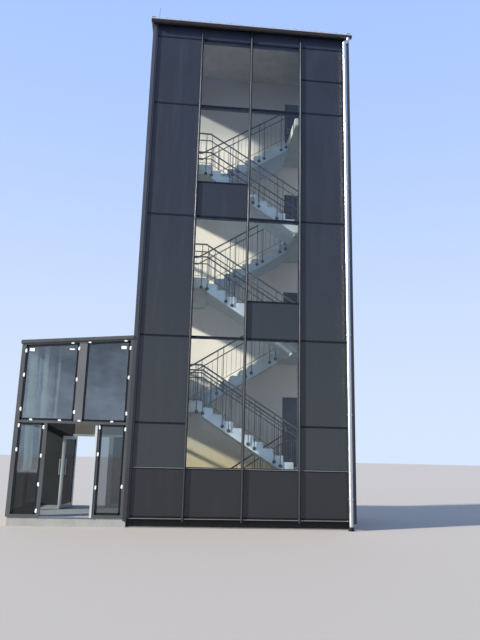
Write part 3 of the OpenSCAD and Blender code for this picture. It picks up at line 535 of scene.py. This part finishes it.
NODE_FINISHES = {
    CONCRETE: ["base_slab", "porch_slab"],
    PLINTH: ["plinth_band"],
    FRAME: ["front_mullions", "left_wall_frame", "right_wall_frame"],
    JOINT: ["front_transoms"],
    PANEL: ["left_bay_panels", "right_bay_panels", "centre_panels", "left_wall_panels",
            "right_wall_panels"],
    GLASS: ["front_glass", "left_wall_glass", "right_wall_glass"],
    FASCIA: ["fascia_panels"],
    RENDER: ["back_wall"],
    LOBBY: ["porch_back_wall"],
    DOOR: ["landing_doors", "landing_door_frames"],
    ROOF: ["roof"],
    GUTTER: ["gutter"],
    ZINC: ["downpipe", "downpipe_clamps"],
    ROD: ["lightning_rod"],
    BRACKET: ["gutter_brackets"],
    STAIR: [f"flight_{k}" for k in range(1, 8)],
    LANDING: ["floor_landings", "half_landings"],
    RAIL: ["front_railings", "well_railings_near", "well_railings_far"],
    PORCH: ["porch_front_frame", "porch_side_frame"],
    PORCH_CAP: ["porch_roof"],
    PORCH_GLASS: ["porch_glass"],
    SCREEN_GLASS: ["inner_screen_glass", "inner_door_glass"],
    LIGHT: ["inner_screen", "inner_door"],
    STEEL: ["inner_door_handle"],
}

for finish, names in NODE_FINISHES.items():
    for name in names:
        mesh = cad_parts[name].data
        mesh.materials.clear()
        mesh.materials.append(finish.material)


# Shapes

# Corners of a block's six sides
BLOCK_SIDES = ((0, 1, 3, 2), (4, 6, 7, 5), (0, 4, 5, 1), (2, 3, 7, 6), (0, 2, 6, 4),
               (1, 5, 7, 3))
SMOOTH_ANGLE = math.radians(40)


class Shape:
    """A mesh put together from plain swept forms, then shown as one piece."""

    def __init__(self):
        self.bm = bmesh.new()

    def slab(self, start, a, b, c):
        """A block from one corner and its three edges."""
        start, a, b, c = (Vector(p) for p in (start, a, b, c))
        corners = [self.bm.verts.new(start + a * i + b * j + c * k)
                   for i in (0, 1) for j in (0, 1) for k in (0, 1)]
        for side in BLOCK_SIDES:
            self.bm.faces.new([corners[i] for i in side])

    def block(self, low, high):
        size = Vector(high) - Vector(low)
        self.slab(low, (size.x, 0, 0), (0, size.y, 0), (0, 0, size.z))

    def ring(self, corners, out, width, depth):
        """Flat bars round a field, inside its corners, which run round its middle."""
        corners = [Vector(c) for c in corners]
        middle = sum(corners, Vector()) / len(corners)
        for a, b in zip(corners, corners[1:] + corners[:1]):
            across = (b - a).cross(Vector(out)).normalized() * width
            if across.dot(middle - a) < 0:
                across.negate()
            self.slab(a, b - a, across, Vector(out).normalized() * depth)

    def sweep(self, outline, start, along, side, up):
        """Sweeps a closed outline of (a, b) pairs, a along side and b along up."""
        start, along, side, up = (Vector(p) for p in (start, along, side, up))
        rings = [[self.bm.verts.new(start + shift + side * a + up * b) for a, b in outline]
                 for shift in (Vector(), along)]
        n = len(outline)
        for i in range(n):
            j = (i + 1) % n
            self.bm.faces.new((rings[0][i], rings[0][j], rings[1][j], rings[1][i]))
        self.bm.faces.new(rings[0][::-1])
        self.bm.faces.new(rings[1])

    def turned(self, profile, centre, axis, sides):
        """Turns a profile of (radius, distance) pairs round an axis. A profile that
        doesn't start and end on the axis is closed into a ring."""
        axis = Vector(axis).normalized()
        side = axis.orthogonal().normalized()
        other = axis.cross(side)
        turns = [2 * math.pi * i / sides for i in range(sides)]
        rings = []
        for radius, distance in profile:
            middle = Vector(centre) + axis * distance
            if radius == 0:
                rings.append([self.bm.verts.new(middle)])
            else:
                rings.append([self.bm.verts.new(middle + side * radius * math.cos(t)
                                                + other * radius * math.sin(t))
                              for t in turns])
        if len(rings[0]) > 1 and len(rings[-1]) > 1:
            rings.append(rings[0])
        for low, high in zip(rings, rings[1:]):
            for i in range(sides):
                j = (i + 1) % sides
                if len(low) == 1:
                    self.bm.faces.new((low[0], high[j], high[i]))
                elif len(high) == 1:
                    self.bm.faces.new((low[i], low[j], high[0]))
                else:
                    self.bm.faces.new((low[i], low[j], high[j], high[i]))

    def show(self, name, finish, slot, bevel=0.0, smooth=False, body="tower"):
        bmesh.ops.recalc_face_normals(self.bm, faces=self.bm.faces)
        mesh = bpy.data.meshes.new(name)
        self.bm.to_mesh(mesh)
        self.bm.free()
        mesh.materials.append(finish.material)
        piece = bpy.data.objects.new(name, mesh)
        bpy.context.collection.objects.link(piece)
        if smooth:
            for face in mesh.polygons:
                face.use_smooth = True
            mesh.set_sharp_from_angle(angle=SMOOTH_ANGLE)
        if bevel:
            edge = piece.modifiers.new("edge", "BEVEL")
            edge.width = bevel
            edge.segments = 2
            edge.limit_method = "ANGLE"
        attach(piece, body)
        return piece


def upright(left, right, low, high, high_right=None):
    """Corners of an upright field between two places, each given as (x, v)."""
    return [at(*left, low), at(*right, low), at(*right, high_right or high), at(*left, high)]


# Tower walls: black gaskets that show beside the caps

BAY_W = 2 * HALF_W / 4
SIDE_MID = 1.5125
SIDE_REAR = 2.78
SIDE_FRONT_FIELD = (CORNER_CAP, SIDE_MID - CAP_W / 2)

BASE_JOINT = FLOOR_Z + POST_W / 2
TOP_JOINT = EAVES_Z - POST_W / 2
FLOOR_JOINTS = [floor_joint(k) for k in range(STOREYS + 1)]
MID_JOINT = 2.3875
HIGH_JOINT = 11.90
PASSAGE_TOP = 2.34
SPANDREL = 0.96
EXTRA_JOINTS = [[MID_JOINT], [FLOOR_JOINTS[2] + SPANDREL], [FLOOR_JOINTS[1] + SPANDREL],
                [MID_JOINT, HIGH_JOINT]]
BAY_JOINTS = [sorted([BASE_JOINT, *FLOOR_JOINTS, *extra, GLASS_TOP, TOP_JOINT])
              for extra in EXTRA_JOINTS]
SIDE_JOINTS = sorted([BASE_JOINT, *FLOOR_JOINTS, MID_JOINT, GLASS_TOP])
PASSAGE_JOINTS = [PASSAGE_TOP, *FLOOR_JOINTS[1:], GLASS_TOP]
REAR_JOINTS = [BASE_JOINT, *FLOOR_JOINTS, GLASS_TOP]

GASKET_W = 0.007
GASKET_D = 0.0085
GASKET_V = CAP_D + 0.0005


def gaskets(strips, joints, left, right, out):
    """Black rubber round each field between the joints."""
    for z0, z1 in zip(joints, joints[1:]):
        strips.ring(upright(left, right, z0 + JOINT_W / 2, z1 - JOINT_W / 2), out,
                    GASKET_W, GASKET_D)


def front_gaskets():
    strips = Shape()
    for i, joints in enumerate(BAY_JOINTS):
        x0 = -HALF_W + CORNER_CAP if i == 0 else -HALF_W + i * BAY_W + CAP_W / 2
        x1 = HALF_W - CORNER_CAP if i == 3 else -HALF_W + (i + 1) * BAY_W - CAP_W / 2
        gaskets(strips, joints, (x0, GASKET_V), (x1, GASKET_V), FORWARD)
    strips.show("front_gaskets", RUBBER, "plinth")


def side_gaskets():
    for name, x, rear in (("left", -HALF_W, PASSAGE_JOINTS), ("right", HALF_W, REAR_JOINTS)):
        out = math.copysign(1, x)
        face = x - out * GASKET_V
        strips = Shape()
        for v0, v1, joints in ((*SIDE_FRONT_FIELD, SIDE_JOINTS),
                               (SIDE_MID + CAP_W / 2, SIDE_REAR - CAP_W / 2, rear)):
            gaskets(strips, joints, (face, v0), (face, v1), (out, 0, 0))
        strips.show(f"{name}_side_gaskets", RUBBER, "plinth")


front_gaskets()
side_gaskets()


# Foot of the tower: folded sills over the black band, drip strips on the lowest joint,
# and the band's lower trim

SILL_FOLD = [(0.066, 0.0), (0.014, -0.004), (0.011, -0.015), (0.013, -0.0155),
             (0.016, -0.0055), (0.066, -0.0015)]
DRIP_FOLD = [(0.050, 0.001), (0.040, -0.001), (0.038, -0.013), (0.040, -0.0135),
             (0.042, -0.003), (0.050, -0.001)]
TRIM_FOLD = [(0, 0), (0.006, 0), (0.006, 0.020), (0.003, 0.024), (0, 0.024)]
SILL_Z = FLOOR_Z + 0.008
DRIP_Z = FLOOR_JOINTS[0] + JOINT_W / 2 - 0.002
END_GAP = 0.002
BAND_EDGE = 2.68
BAND_V = 0.07
TRIM_D = 0.006


def sills():
    sill = Shape()
    edges = [-HALF_W + CORNER_CAP, *(x + s * CAP_W / 2 for x in (-BAY_W, 0, BAY_W)
                                     for s in (-1, 1)), HALF_W - CORNER_CAP]
    bays = list(zip(edges[::2], edges[1::2]))
    for x0, x1 in bays:
        sill.sweep(SILL_FOLD, at(x0 + END_GAP, 0, SILL_Z), (x1 - x0 - 2 * END_GAP, 0, 0),
                   BACK, UP)
    for x, (v0, v1) in ((HALF_W, SIDE_FRONT_FIELD), (HALF_W, (SIDE_MID + CAP_W / 2, SIDE_REAR)),
                        (-HALF_W, SIDE_FRONT_FIELD)):
        sill.sweep(SILL_FOLD, at(x, v0 + END_GAP, SILL_Z), (0, v1 - v0 - 2 * END_GAP, 0),
                   (-math.copysign(1, x), 0, 0), UP)
    for x0, x1 in bays:
        sill.sweep(DRIP_FOLD, at(x0 + END_GAP, 0, DRIP_Z), (x1 - x0 - 2 * END_GAP, 0, 0),
                   BACK, UP)
    sill.show("drip_sills", SILL, "zinc")
    trim = Shape()
    trim.sweep(TRIM_FOLD, at(-BAND_EDGE, BAND_V - TRIM_D, 0), (2 * BAND_EDGE, 0, 0), BACK, UP)
    trim.sweep(TRIM_FOLD, at(BAND_EDGE + TRIM_D, BAND_V, 0), (0, WALL_V - BAND_V, 0),
               (-1, 0, 0), UP)
    trim.show("band_trim", SILL, "zinc")


sills()


# Porch: seals round its panes, white setting clips, blank labels and the doorway

PORCH_RISE = 0.22 / 2.62
ROOF_EDGE_Z = 4.25
LIGHT_DROP = 0.12
LOW_LIGHTS = (0.265, 2.31)
HIGH_FOOT = 2.37
SIDE_TOP = 4.13
# Left, right, foot and top, or None where the pane's top follows the roof
PORCH_PANES = [(-5.27, -4.70, *LOW_LIGHTS), (-3.40, -2.81, *LOW_LIGHTS),
               (-5.27, -4.03, HIGH_FOOT, None), (-3.84, -2.81, HIGH_FOOT, None)]
SIDE_PANES = [(0.13, 1.45, *LOW_LIGHTS), (0.13, 1.45, HIGH_FOOT, SIDE_TOP),
              (1.51, 2.83, *LOW_LIGHTS), (1.51, 2.83, HIGH_FOOT, SIDE_TOP)]
SEAL_W = 0.048
SEAL_D = 0.016
SEAL_FACES = ((0.022, -1), (0.048, 1))

CLIP_BAR_Z = 2.38
CLIP_V = -0.001
CLIP_D = 0.022
CLIP_LEAN = 0.12
CLIP_LONG = 1.15
CLIP_WIDE_LYING = 1.2
CLIP_WIDE_UPRIGHT = 1.55
CLIP_OUTLINE = [(-0.024, -0.016), (0.024, -0.016), (0.028, -0.008), (0.028, 0.010),
                (0.010, 0.018), (-0.010, 0.018), (-0.028, 0.010), (-0.028, -0.008)]
# Places of the clips, with None on a pane's sloping top
CLIPS = [(-5.265, 4.00), (-5.265, 3.42), (-5.265, 2.62), (-5.265, 2.24), (-5.265, 1.69),
         (-4.19, None), (-3.79, None), (-2.93, None), (-4.03, 4.10), (-4.03, 3.35),
         (-4.03, 2.58), (-2.81, 4.16), (-2.81, 3.44), (-2.81, 2.58), (-5.01, CLIP_BAR_Z),
         (-4.35, CLIP_BAR_Z), (-3.90, CLIP_BAR_Z), (-3.14, CLIP_BAR_Z), (-4.70, 2.21),
         (-4.70, 1.56), (-4.70, 0.92), (-4.70, 0.34), (-3.41, 2.24), (-2.81, 2.21),
         (-3.41, 1.62), (-3.41, 0.87), (-2.81, 0.90)]
# Middle, width and height of each label
LABELS = [(-5.14, 4.03, 0.12, 0.07), (-2.97, 4.17, 0.12, 0.07), (-4.20, 4.08, 0.12, 0.03)]
LABEL_V = (0.0222, 0.0228)

DOORWAY_LEFT = -4.62
DOORWAY_RIGHT = -3.50
EDGE_V = -0.012
EDGE_H = 2.075
EDGE_FOLD = [(-0.004, 0.0), (0.046, 0.0), (0.050, 0.004), (0.050, 0.0115), (-0.0005, 0.0115),
             (-0.0005, 0.066), (-0.004, 0.066)]
FLOOR_RAIL = [(0.0, 0.0), (0.07, 0.0), (0.065, 0.012), (0.005, 0.012)]

FLASHING_OUT = 0.0215
FLASHING_END = -HALF_W + 0.002
FLASHING_V = -0.025
FLASHING_D = 2.91
FLASHING_FOLD = [(0.060, 0.0005), (0.060, 0.003), (0.0, 0.003), (-0.003, 0.0),
                 (-0.003, -0.070), (0.0, -0.074), (0.001, -0.070), (0.0, 0.0005)]


def porch_roof_top(x):
    return ROOF_EDGE_Z + (x - PORCH_LEFT) * PORCH_RISE


def porch_light_top(x):
    return porch_roof_top(x) - LIGHT_DROP


def porch_seals():
    seals = Shape()
    for x0, x1, z0, z1 in PORCH_PANES:
        tops = (z1, z1) if z1 else (porch_light_top(x0), porch_light_top(x1))
        for v, out in SEAL_FACES:
            seals.ring(upright((x0, v), (x1, v), z0, *tops), (0, out, 0), SEAL_W, SEAL_D)
    for v0, v1, z0, z1 in SIDE_PANES:
        for inset, out in SEAL_FACES:
            x = PORCH_LEFT + inset
            seals.ring(upright((x, v0), (x, v1), z0, z1), (out, 0, 0), SEAL_W, SEAL_D)
    seals.show("porch_seals", RUBBER, "plinth")


def setting_clips():
    """White plastic clips that hold the new panes until they are sealed."""
    rng = random.Random(7)
    clips = Shape()
    for x, z in CLIPS:
        flat = z is None or z == CLIP_BAR_Z
        lean = rng.uniform(-CLIP_LEAN, CLIP_LEAN) + (0 if flat else math.pi / 2)
        wide = CLIP_WIDE_LYING if flat else CLIP_WIDE_UPRIGHT
        along = Vector((math.cos(lean), 0, math.sin(lean))) * wide
        up = Vector((-math.sin(lean), 0, math.cos(lean))) * CLIP_LONG
        clips.sweep(CLIP_OUTLINE, at(x, CLIP_V, z or porch_light_top(x)), (0, CLIP_D, 0),
                    along, up)
    clips.show("setting_clips", CLIP, "light_metal", bevel=0.002)


def blank_labels():
    labels = Shape()
    for x, z, w, h in LABELS:
        labels.block(at(x - w / 2, LABEL_V[0], z - h / 2), at(x + w / 2, LABEL_V[1], z + h / 2))
    labels.show("blank_labels", CLIP, "light_metal")


def doorway_trim():
    """The bright edge strip at the doorway's right, and its floor rail."""
    strip = Shape()
    strip.sweep(EDGE_FOLD, at(DOORWAY_RIGHT, EDGE_V, FLOOR_Z), (0, 0, EDGE_H), RIGHT, BACK)
    strip.show("doorway_edge", LIGHT, "light_metal", bevel=0.001)
    rail = Shape()
    rail.sweep(FLOOR_RAIL, at(DOORWAY_LEFT, 0, FLOOR_Z), (DOORWAY_RIGHT - DOORWAY_LEFT, 0, 0),
               BACK, UP)
    rail.show("doorway_rail", STEEL, "handle_steel")


def porch_flashing():
    """Folded edge strips along the porch roof's front and its left."""
    strip = Shape()
    left = PORCH_LEFT - FLASHING_OUT
    slope = Vector((1, 0, PORCH_RISE)).normalized()
    up = Vector((-slope.z, 0, slope.x))
    start = at(left, FLASHING_V, porch_roof_top(left))
    run = FLASHING_END - left
    strip.sweep(FLASHING_FOLD, start, slope * (run / slope.x), BACK, up)
    strip.sweep(FLASHING_FOLD, start, (0, FLASHING_D, 0), slope, up)
    strip.show("porch_flashing", PORCH_CAP, "roof_sheet")


porch_seals()
setting_clips()
blank_labels()
doorway_trim()
porch_flashing()


# Rainwater pipe: sockets, clamp bolts and its foot

PIPE_X = 2.59
PIPE_V = -0.095
PIPE_R = 0.05
PIPE_SIDES = 32
OUTLET_X = 2.70
OUTLET_Z = 13.168
SOCKET_Z = (1.32, 4.28, 7.24, 10.2, 12.88)
CLAMP_Z = [0.72 + k * 11.9 / 6 for k in range(7)]
# Profiles from the pipe's skin outwards and up
SOCKET = [(-0.001, 0.0), (0.003, 0.002), (0.004, 0.006), (0.003, 0.010), (0.002, 0.055),
          (0.0045, 0.060), (0.003, 0.065), (-0.001, 0.066)]
OUTLET = [(0.001, 0.0), (0.004, 0.001), (0.005, 0.012), (0.004, 0.035), (0.001, 0.036)]
PIPE_FOOT = [(0.001, 0.0), (0.020, 0.0), (0.022, 0.008), (0.020, 0.030), (0.010, 0.038),
             (0.009, 0.085), (0.005, 0.090), (0.001, 0.090)]
EAR_X = 0.054
EAR_HALF = Vector((0.010, 0.004, 0.018))
BOLT_X = 0.060
BOLT_SIDES = 6
BOLT = [(0, -0.012), (0.006, -0.012), (0.007, -0.010), (0.007, -0.005), (0.004, -0.004),
        (0.004, 0.012), (0, 0.013)]


def round_pipe(shape, profile, x, z):
    shape.turned([(PIPE_R + out, up) for out, up in profile], at(x, PIPE_V, z), UP, PIPE_SIDES)


def pipe_fittings():
    sockets = Shape()
    for z in SOCKET_Z:
        round_pipe(sockets, SOCKET, PIPE_X, z)
    round_pipe(sockets, OUTLET, OUTLET_X, OUTLET_Z)
    sockets.show("pipe_sockets", ZINC, "zinc", smooth=True)
    foot = Shape()
    round_pipe(foot, PIPE_FOOT, PIPE_X, 0.0)
    foot.show("pipe_foot", RUBBER, "plinth", smooth=True)
    bolts = Shape()
    for z in CLAMP_Z:
        for side in (-1, 1):
            ear = at(PIPE_X + side * EAR_X, PIPE_V, z)
            bolts.block(ear - EAR_HALF, ear + EAR_HALF)
            bolts.turned(BOLT, at(PIPE_X + side * BOLT_X, PIPE_V, z), BACK,
                         BOLT_SIDES)
    bolts.show("clamp_bolts", STEEL, "zinc")


pipe_fittings()


# Roof: standing seams and side flashings, and the ceiling boards under it

ROOF_FRONT_V = -0.051
ROOF_FRONT_Z = 13.421
ROOF_RUN = 3.11
ROOF_HALF_W = 2.798
SEAM_X = -2.38
SEAM_STEP = 0.595
SEAMS = 9
SEAM_START = 0.01
SEAM_FOLD = [(-0.008, 0), (-0.003, 0.006), (-0.003, 0.024), (0.007, 0.024), (0.007, 0.021),
             (0.003, 0.018), (0.003, 0.006), (0.008, 0)]
# The side flashings are low over the gutter's end and higher behind it
LOW_RUN = 0.13
SIDE_FOLD = [(0, -0.04), (0, 0.028), (0.004, 0.032), (0.10, 0.012), (0.10, 0.0), (0.003, 0.0),
             (0.003, -0.04)]
LOW_FOLD = [(0, -0.04), (0, 0.004), (0.10, 0.004), (0.10, 0.0), (0.003, 0.0), (0.003, -0.04)]

BOARDS = 4
BOARD_SPLIT = 1.51
BOARD_GAP = 0.004
BOARD_T = 0.012
BOARD_DROP = 0.014


def on_roof(x, run):
    """A place on the roof's top, run metres back from its front edge along the slope."""
    along = Vector((0, math.cos(ROOF_PITCH), math.sin(ROOF_PITCH)))
    return at(x, ROOF_FRONT_V, ROOF_FRONT_Z) + along * run


def roof_seams():
    seams = Shape()
    along = on_roof(0, ROOF_RUN) - on_roof(0, 0.0)
    up = Vector((0, -math.sin(ROOF_PITCH), math.cos(ROOF_PITCH)))
    for i in range(SEAMS):
        seams.sweep(SEAM_FOLD, on_roof(SEAM_X + i * SEAM_STEP, SEAM_START), along, RIGHT, up)
    for turn in (1, -1):
        x, side = -turn * ROOF_HALF_W, (turn, 0, 0)
        seams.sweep(SIDE_FOLD, on_roof(x, LOW_RUN), along * ((ROOF_RUN - LOW_RUN) / ROOF_RUN),
                    side, up)
        seams.sweep(LOW_FOLD, on_roof(x, 0.0), along * (LOW_RUN / ROOF_RUN), side, up)
    seams.show("roof_seams", ROOF, "roof_sheet")


def ceiling_lining():
    """Boards under the roof, between the posts and the rear wall."""
    boards = Shape()
    inner = HALF_W - POST_BACK
    along = Vector((0, 1, math.tan(ROOF_PITCH)))
    width = 2 * inner / BOARDS
    for i in range(BOARDS):
        for v0, v1 in ((POST_BACK, BOARD_SPLIT), (BOARD_SPLIT + BOARD_GAP, WALL_V)):
            boards.slab(at(-inner + i * width + BOARD_GAP / 2, v0,
                           EAVES_Z + v0 * along.z - BOARD_DROP),
                        (width - BOARD_GAP, 0, 0), along * (v1 - v0), (0, 0, BOARD_T))
    boards.show("ceiling_lining", CEILING, "landing_concrete", bevel=0.002)


roof_seams()
ceiling_lining()


# Near flights: ribbed strips near the edges of the treads

RIBS = (0.016, 0.030, 0.044)
RIB_HALF_W = 0.005
RIB_H = 0.002
RIB_INSET = 0.08


def tread_edges():
    strips = Shape()
    for k in range(STOREYS):
        for i in range(RISERS - 1):
            x = NEAR_FOOT_X - i * GOING
            z = floor_level(k) + (i + 1) * RISE
            for rib in RIBS:
                strips.block(at(x - rib - RIB_HALF_W, NEAR_EDGE + RIB_INSET, z),
                             at(x - rib + RIB_HALF_W, NEAR_BACK - RIB_INSET, z + RIB_H))
    strips.show("tread_edges", RUBBER, "plinth")


tread_edges()


# Railings: a cap on each post's round plate

PLATE_FACE_TOLERANCE = 0.0006
PLATE_POINT_GAP = 0.022
PLATE_SIZE = (0.07, 0.09)
PLATE_T = 0.010
CAP_SIDES = 28
CAP_PROFILE = [(0.0085, 0.0003), (0.0085, 0.008), (0.014, 0.008), (0.022, 0.005),
               (0.042, 0.004), (0.0455, 0.002), (0.0455, 0.0003)]


def plate_centres(node, v):
    """Middles of the round plates whose faces lie at v, found in the node's own mesh."""
    spots = [p.co.copy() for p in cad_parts[node].data.vertices
             if abs(p.co.y - FRONT_Y - v) < PLATE_FACE_TOLERANCE]
    tree = kdtree.KDTree(len(spots))
    for i, spot in enumerate(spots):
        tree.insert(spot, i)
    tree.balance()
    left, centres = set(range(len(spots))), []
    while left:
        front, group = [left.pop()], []
        while front:
            i = front.pop()
            group.append(spots[i])
            for _, j, _ in tree.find_range(spots[i], PLATE_POINT_GAP):
                if j in left:
                    left.remove(j)
                    front.append(j)
        low = Vector(min(p[a] for p in group) for a in range(3))
        high = Vector(max(p[a] for p in group) for a in range(3))
        size = high - low
        if all(PLATE_SIZE[0] < s < PLATE_SIZE[1] for s in (size.x, size.z)):
            centres.append((low + high) / 2)
    return sorted(centres, key=lambda c: (round(c.z, 3), round(c.x, 3)))


def rosette_caps():
    for name, node, v, out in (
            ("front_rosettes", "front_railings", NEAR_EDGE - PLATE_T, -1),
            ("near_well_rosettes", "well_railings_near", NEAR_BACK + PLATE_T, 1),
            ("far_well_rosettes", "well_railings_far", FAR_FRONT - PLATE_T, -1)):
        caps = Shape()
        for centre in plate_centres(node, v):
            caps.turned(CAP_PROFILE, centre, (0, out, 0), CAP_SIDES)
        caps.show(name, ROSETTE, "rail_steel", smooth=True)


rosette_caps()


# Landing doors: seals, hinges, levers and closers

LEAF_FRONT = WALL_V + 0.055
LEAF_BACK = WALL_V + 0.11
LEVER_SIDES = 16
LEAF_SEAL_W = 0.006
LEAF_SEAL_D = 0.004
HINGE_HEIGHTS = (0.25, 1.0, 1.75)
HINGE_OUT = 0.004
HINGE_FORWARD = 0.009
HINGE_PROFILE = [(0, 0), (0.008, 0), (0.010, 0.003), (0.010, 0.087), (0.008, 0.09), (0, 0.09)]
# Places on a leaf, from its free edge and its foot
LEVER_H = 1.08
LEVER_X = 0.058
LEVER_OUT = 0.050
SPINDLE_X = 0.065
LOCK_PLATE_X = (0.045, 0.085)
LOCK_PLATE_H = (0.93, 1.15)
LOCK_PLATE_T = 0.008
SPINDLE_PROFILE = [(0, 0), (0.011, 0), (0.011, 0.050), (0, 0.052)]
LEVER_PROFILE = [(0, 0), (0.009, 0.002), (0.010, 0.008), (0.010, 0.118), (0.008, 0.125),
                 (0, 0.127)]
# The closer's box and arm, from the leaf's top corner at its hinges
CLOSER_BOX = Vector((-0.30, -0.045, -0.09)), Vector((-0.06, -0.001, -0.03))
CLOSER_ARM = Vector((-0.20, -0.035, -0.028))
CLOSER_ARM_EDGES = (-0.22, -0.10, 0), (0, 0.02, 0), (0, 0, 0.008)


def door_fittings():
    seals, steel, boxes = Shape(), Shape(), Shape()
    x0, x1 = DOOR_X + DOOR_FRAME_W, DOOR_X + DOOR_W - DOOR_FRAME_W
    for k in range(STOREYS + 1):
        z = floor_level(k)
        top = z + DOOR_H - DOOR_FRAME_W
        seals.ring(upright((x0, LEAF_FRONT), (x1, LEAF_FRONT), z, top), FORWARD,
                   LEAF_SEAL_W, LEAF_SEAL_D)
        for height in HINGE_HEIGHTS:
            steel.turned(HINGE_PROFILE,
                         at(x1 + HINGE_OUT, LEAF_FRONT - HINGE_FORWARD, z + height), UP,
                         LEVER_SIDES)
        for v, out in ((LEAF_FRONT, -1), (LEAF_BACK, 1)):
            faces = sorted((v, v + out * LOCK_PLATE_T))
            steel.block(at(x0 + LOCK_PLATE_X[0], faces[0], z + LOCK_PLATE_H[0]),
                        at(x0 + LOCK_PLATE_X[1], faces[1], z + LOCK_PLATE_H[1]))
            steel.turned(SPINDLE_PROFILE, at(x0 + SPINDLE_X, v, z + LEVER_H), (0, out, 0),
                         LEVER_SIDES)
            steel.turned(LEVER_PROFILE, at(x0 + LEVER_X, v + out * LEVER_OUT, z + LEVER_H),
                         RIGHT, LEVER_SIDES)
        corner = at(x1, LEAF_FRONT, top)
        boxes.block(corner + CLOSER_BOX[0], corner + CLOSER_BOX[1])
        boxes.slab(corner + CLOSER_ARM, *CLOSER_ARM_EDGES)
    seals.show("door_seals", RUBBER, "plinth")
    steel.show("door_levers", STEEL, "handle_steel", smooth=True)
    boxes.show("door_closers", STEEL, "handle_steel", bevel=0.004)


door_fittings()


# Floor and light

FLOOR_REACH = 80
FLOOR_COLOR = (0.37, 0.335, 0.29)
SKY_LOW = (0.60, 0.70, 0.86)
SKY_HIGH = (0.34, 0.50, 0.88)
SKY_RISE = (-0.05, 0.75)
SKY_STRENGTH = 1.15
KEY_COLOR = (1.0, 0.95, 0.87)
KEY_STRENGTH = 8.6
KEY_ANGLE = math.radians(3)
KEY_DIRECTION = Vector((2.55, 1.0, -1.18))


def add_floor():
    mesh = bpy.data.meshes.new("floor")
    mesh.from_pydata([(x * FLOOR_REACH, y * FLOOR_REACH, 0)
                      for x, y in ((-1, -1), (1, -1), (1, 1), (-1, 1))], [], [(0, 1, 2, 3)])
    floor = bpy.data.objects.new("floor", mesh)
    bpy.context.collection.objects.link(floor)
    mesh.materials.append(Finish("pale_floor", FLOOR_COLOR, 0.9).material)


def add_light():
    world = bpy.data.worlds.new("studio")
    world.use_nodes = True
    sky = Graph(world.node_tree, "Generated")
    background = world.node_tree.nodes["Background"]
    sky.feed(background.inputs["Color"],
             sky.mix(SKY_LOW, SKY_HIGH, sky.axis("Z").step(*SKY_RISE)))
    sky.feed(background.inputs["Strength"], SKY_STRENGTH)
    bpy.context.scene.world = world
    key = bpy.data.lights.new("key", "SUN")
    key.energy = KEY_STRENGTH
    key.angle = KEY_ANGLE
    key.color = KEY_COLOR
    lamp = bpy.data.objects.new("key", key)
    lamp.rotation_euler = KEY_DIRECTION.to_track_quat("-Z", "Y").to_euler()
    bpy.context.collection.objects.link(lamp)


add_floor()
add_light()
bpy.context.scene.view_settings.view_transform = "Standard"
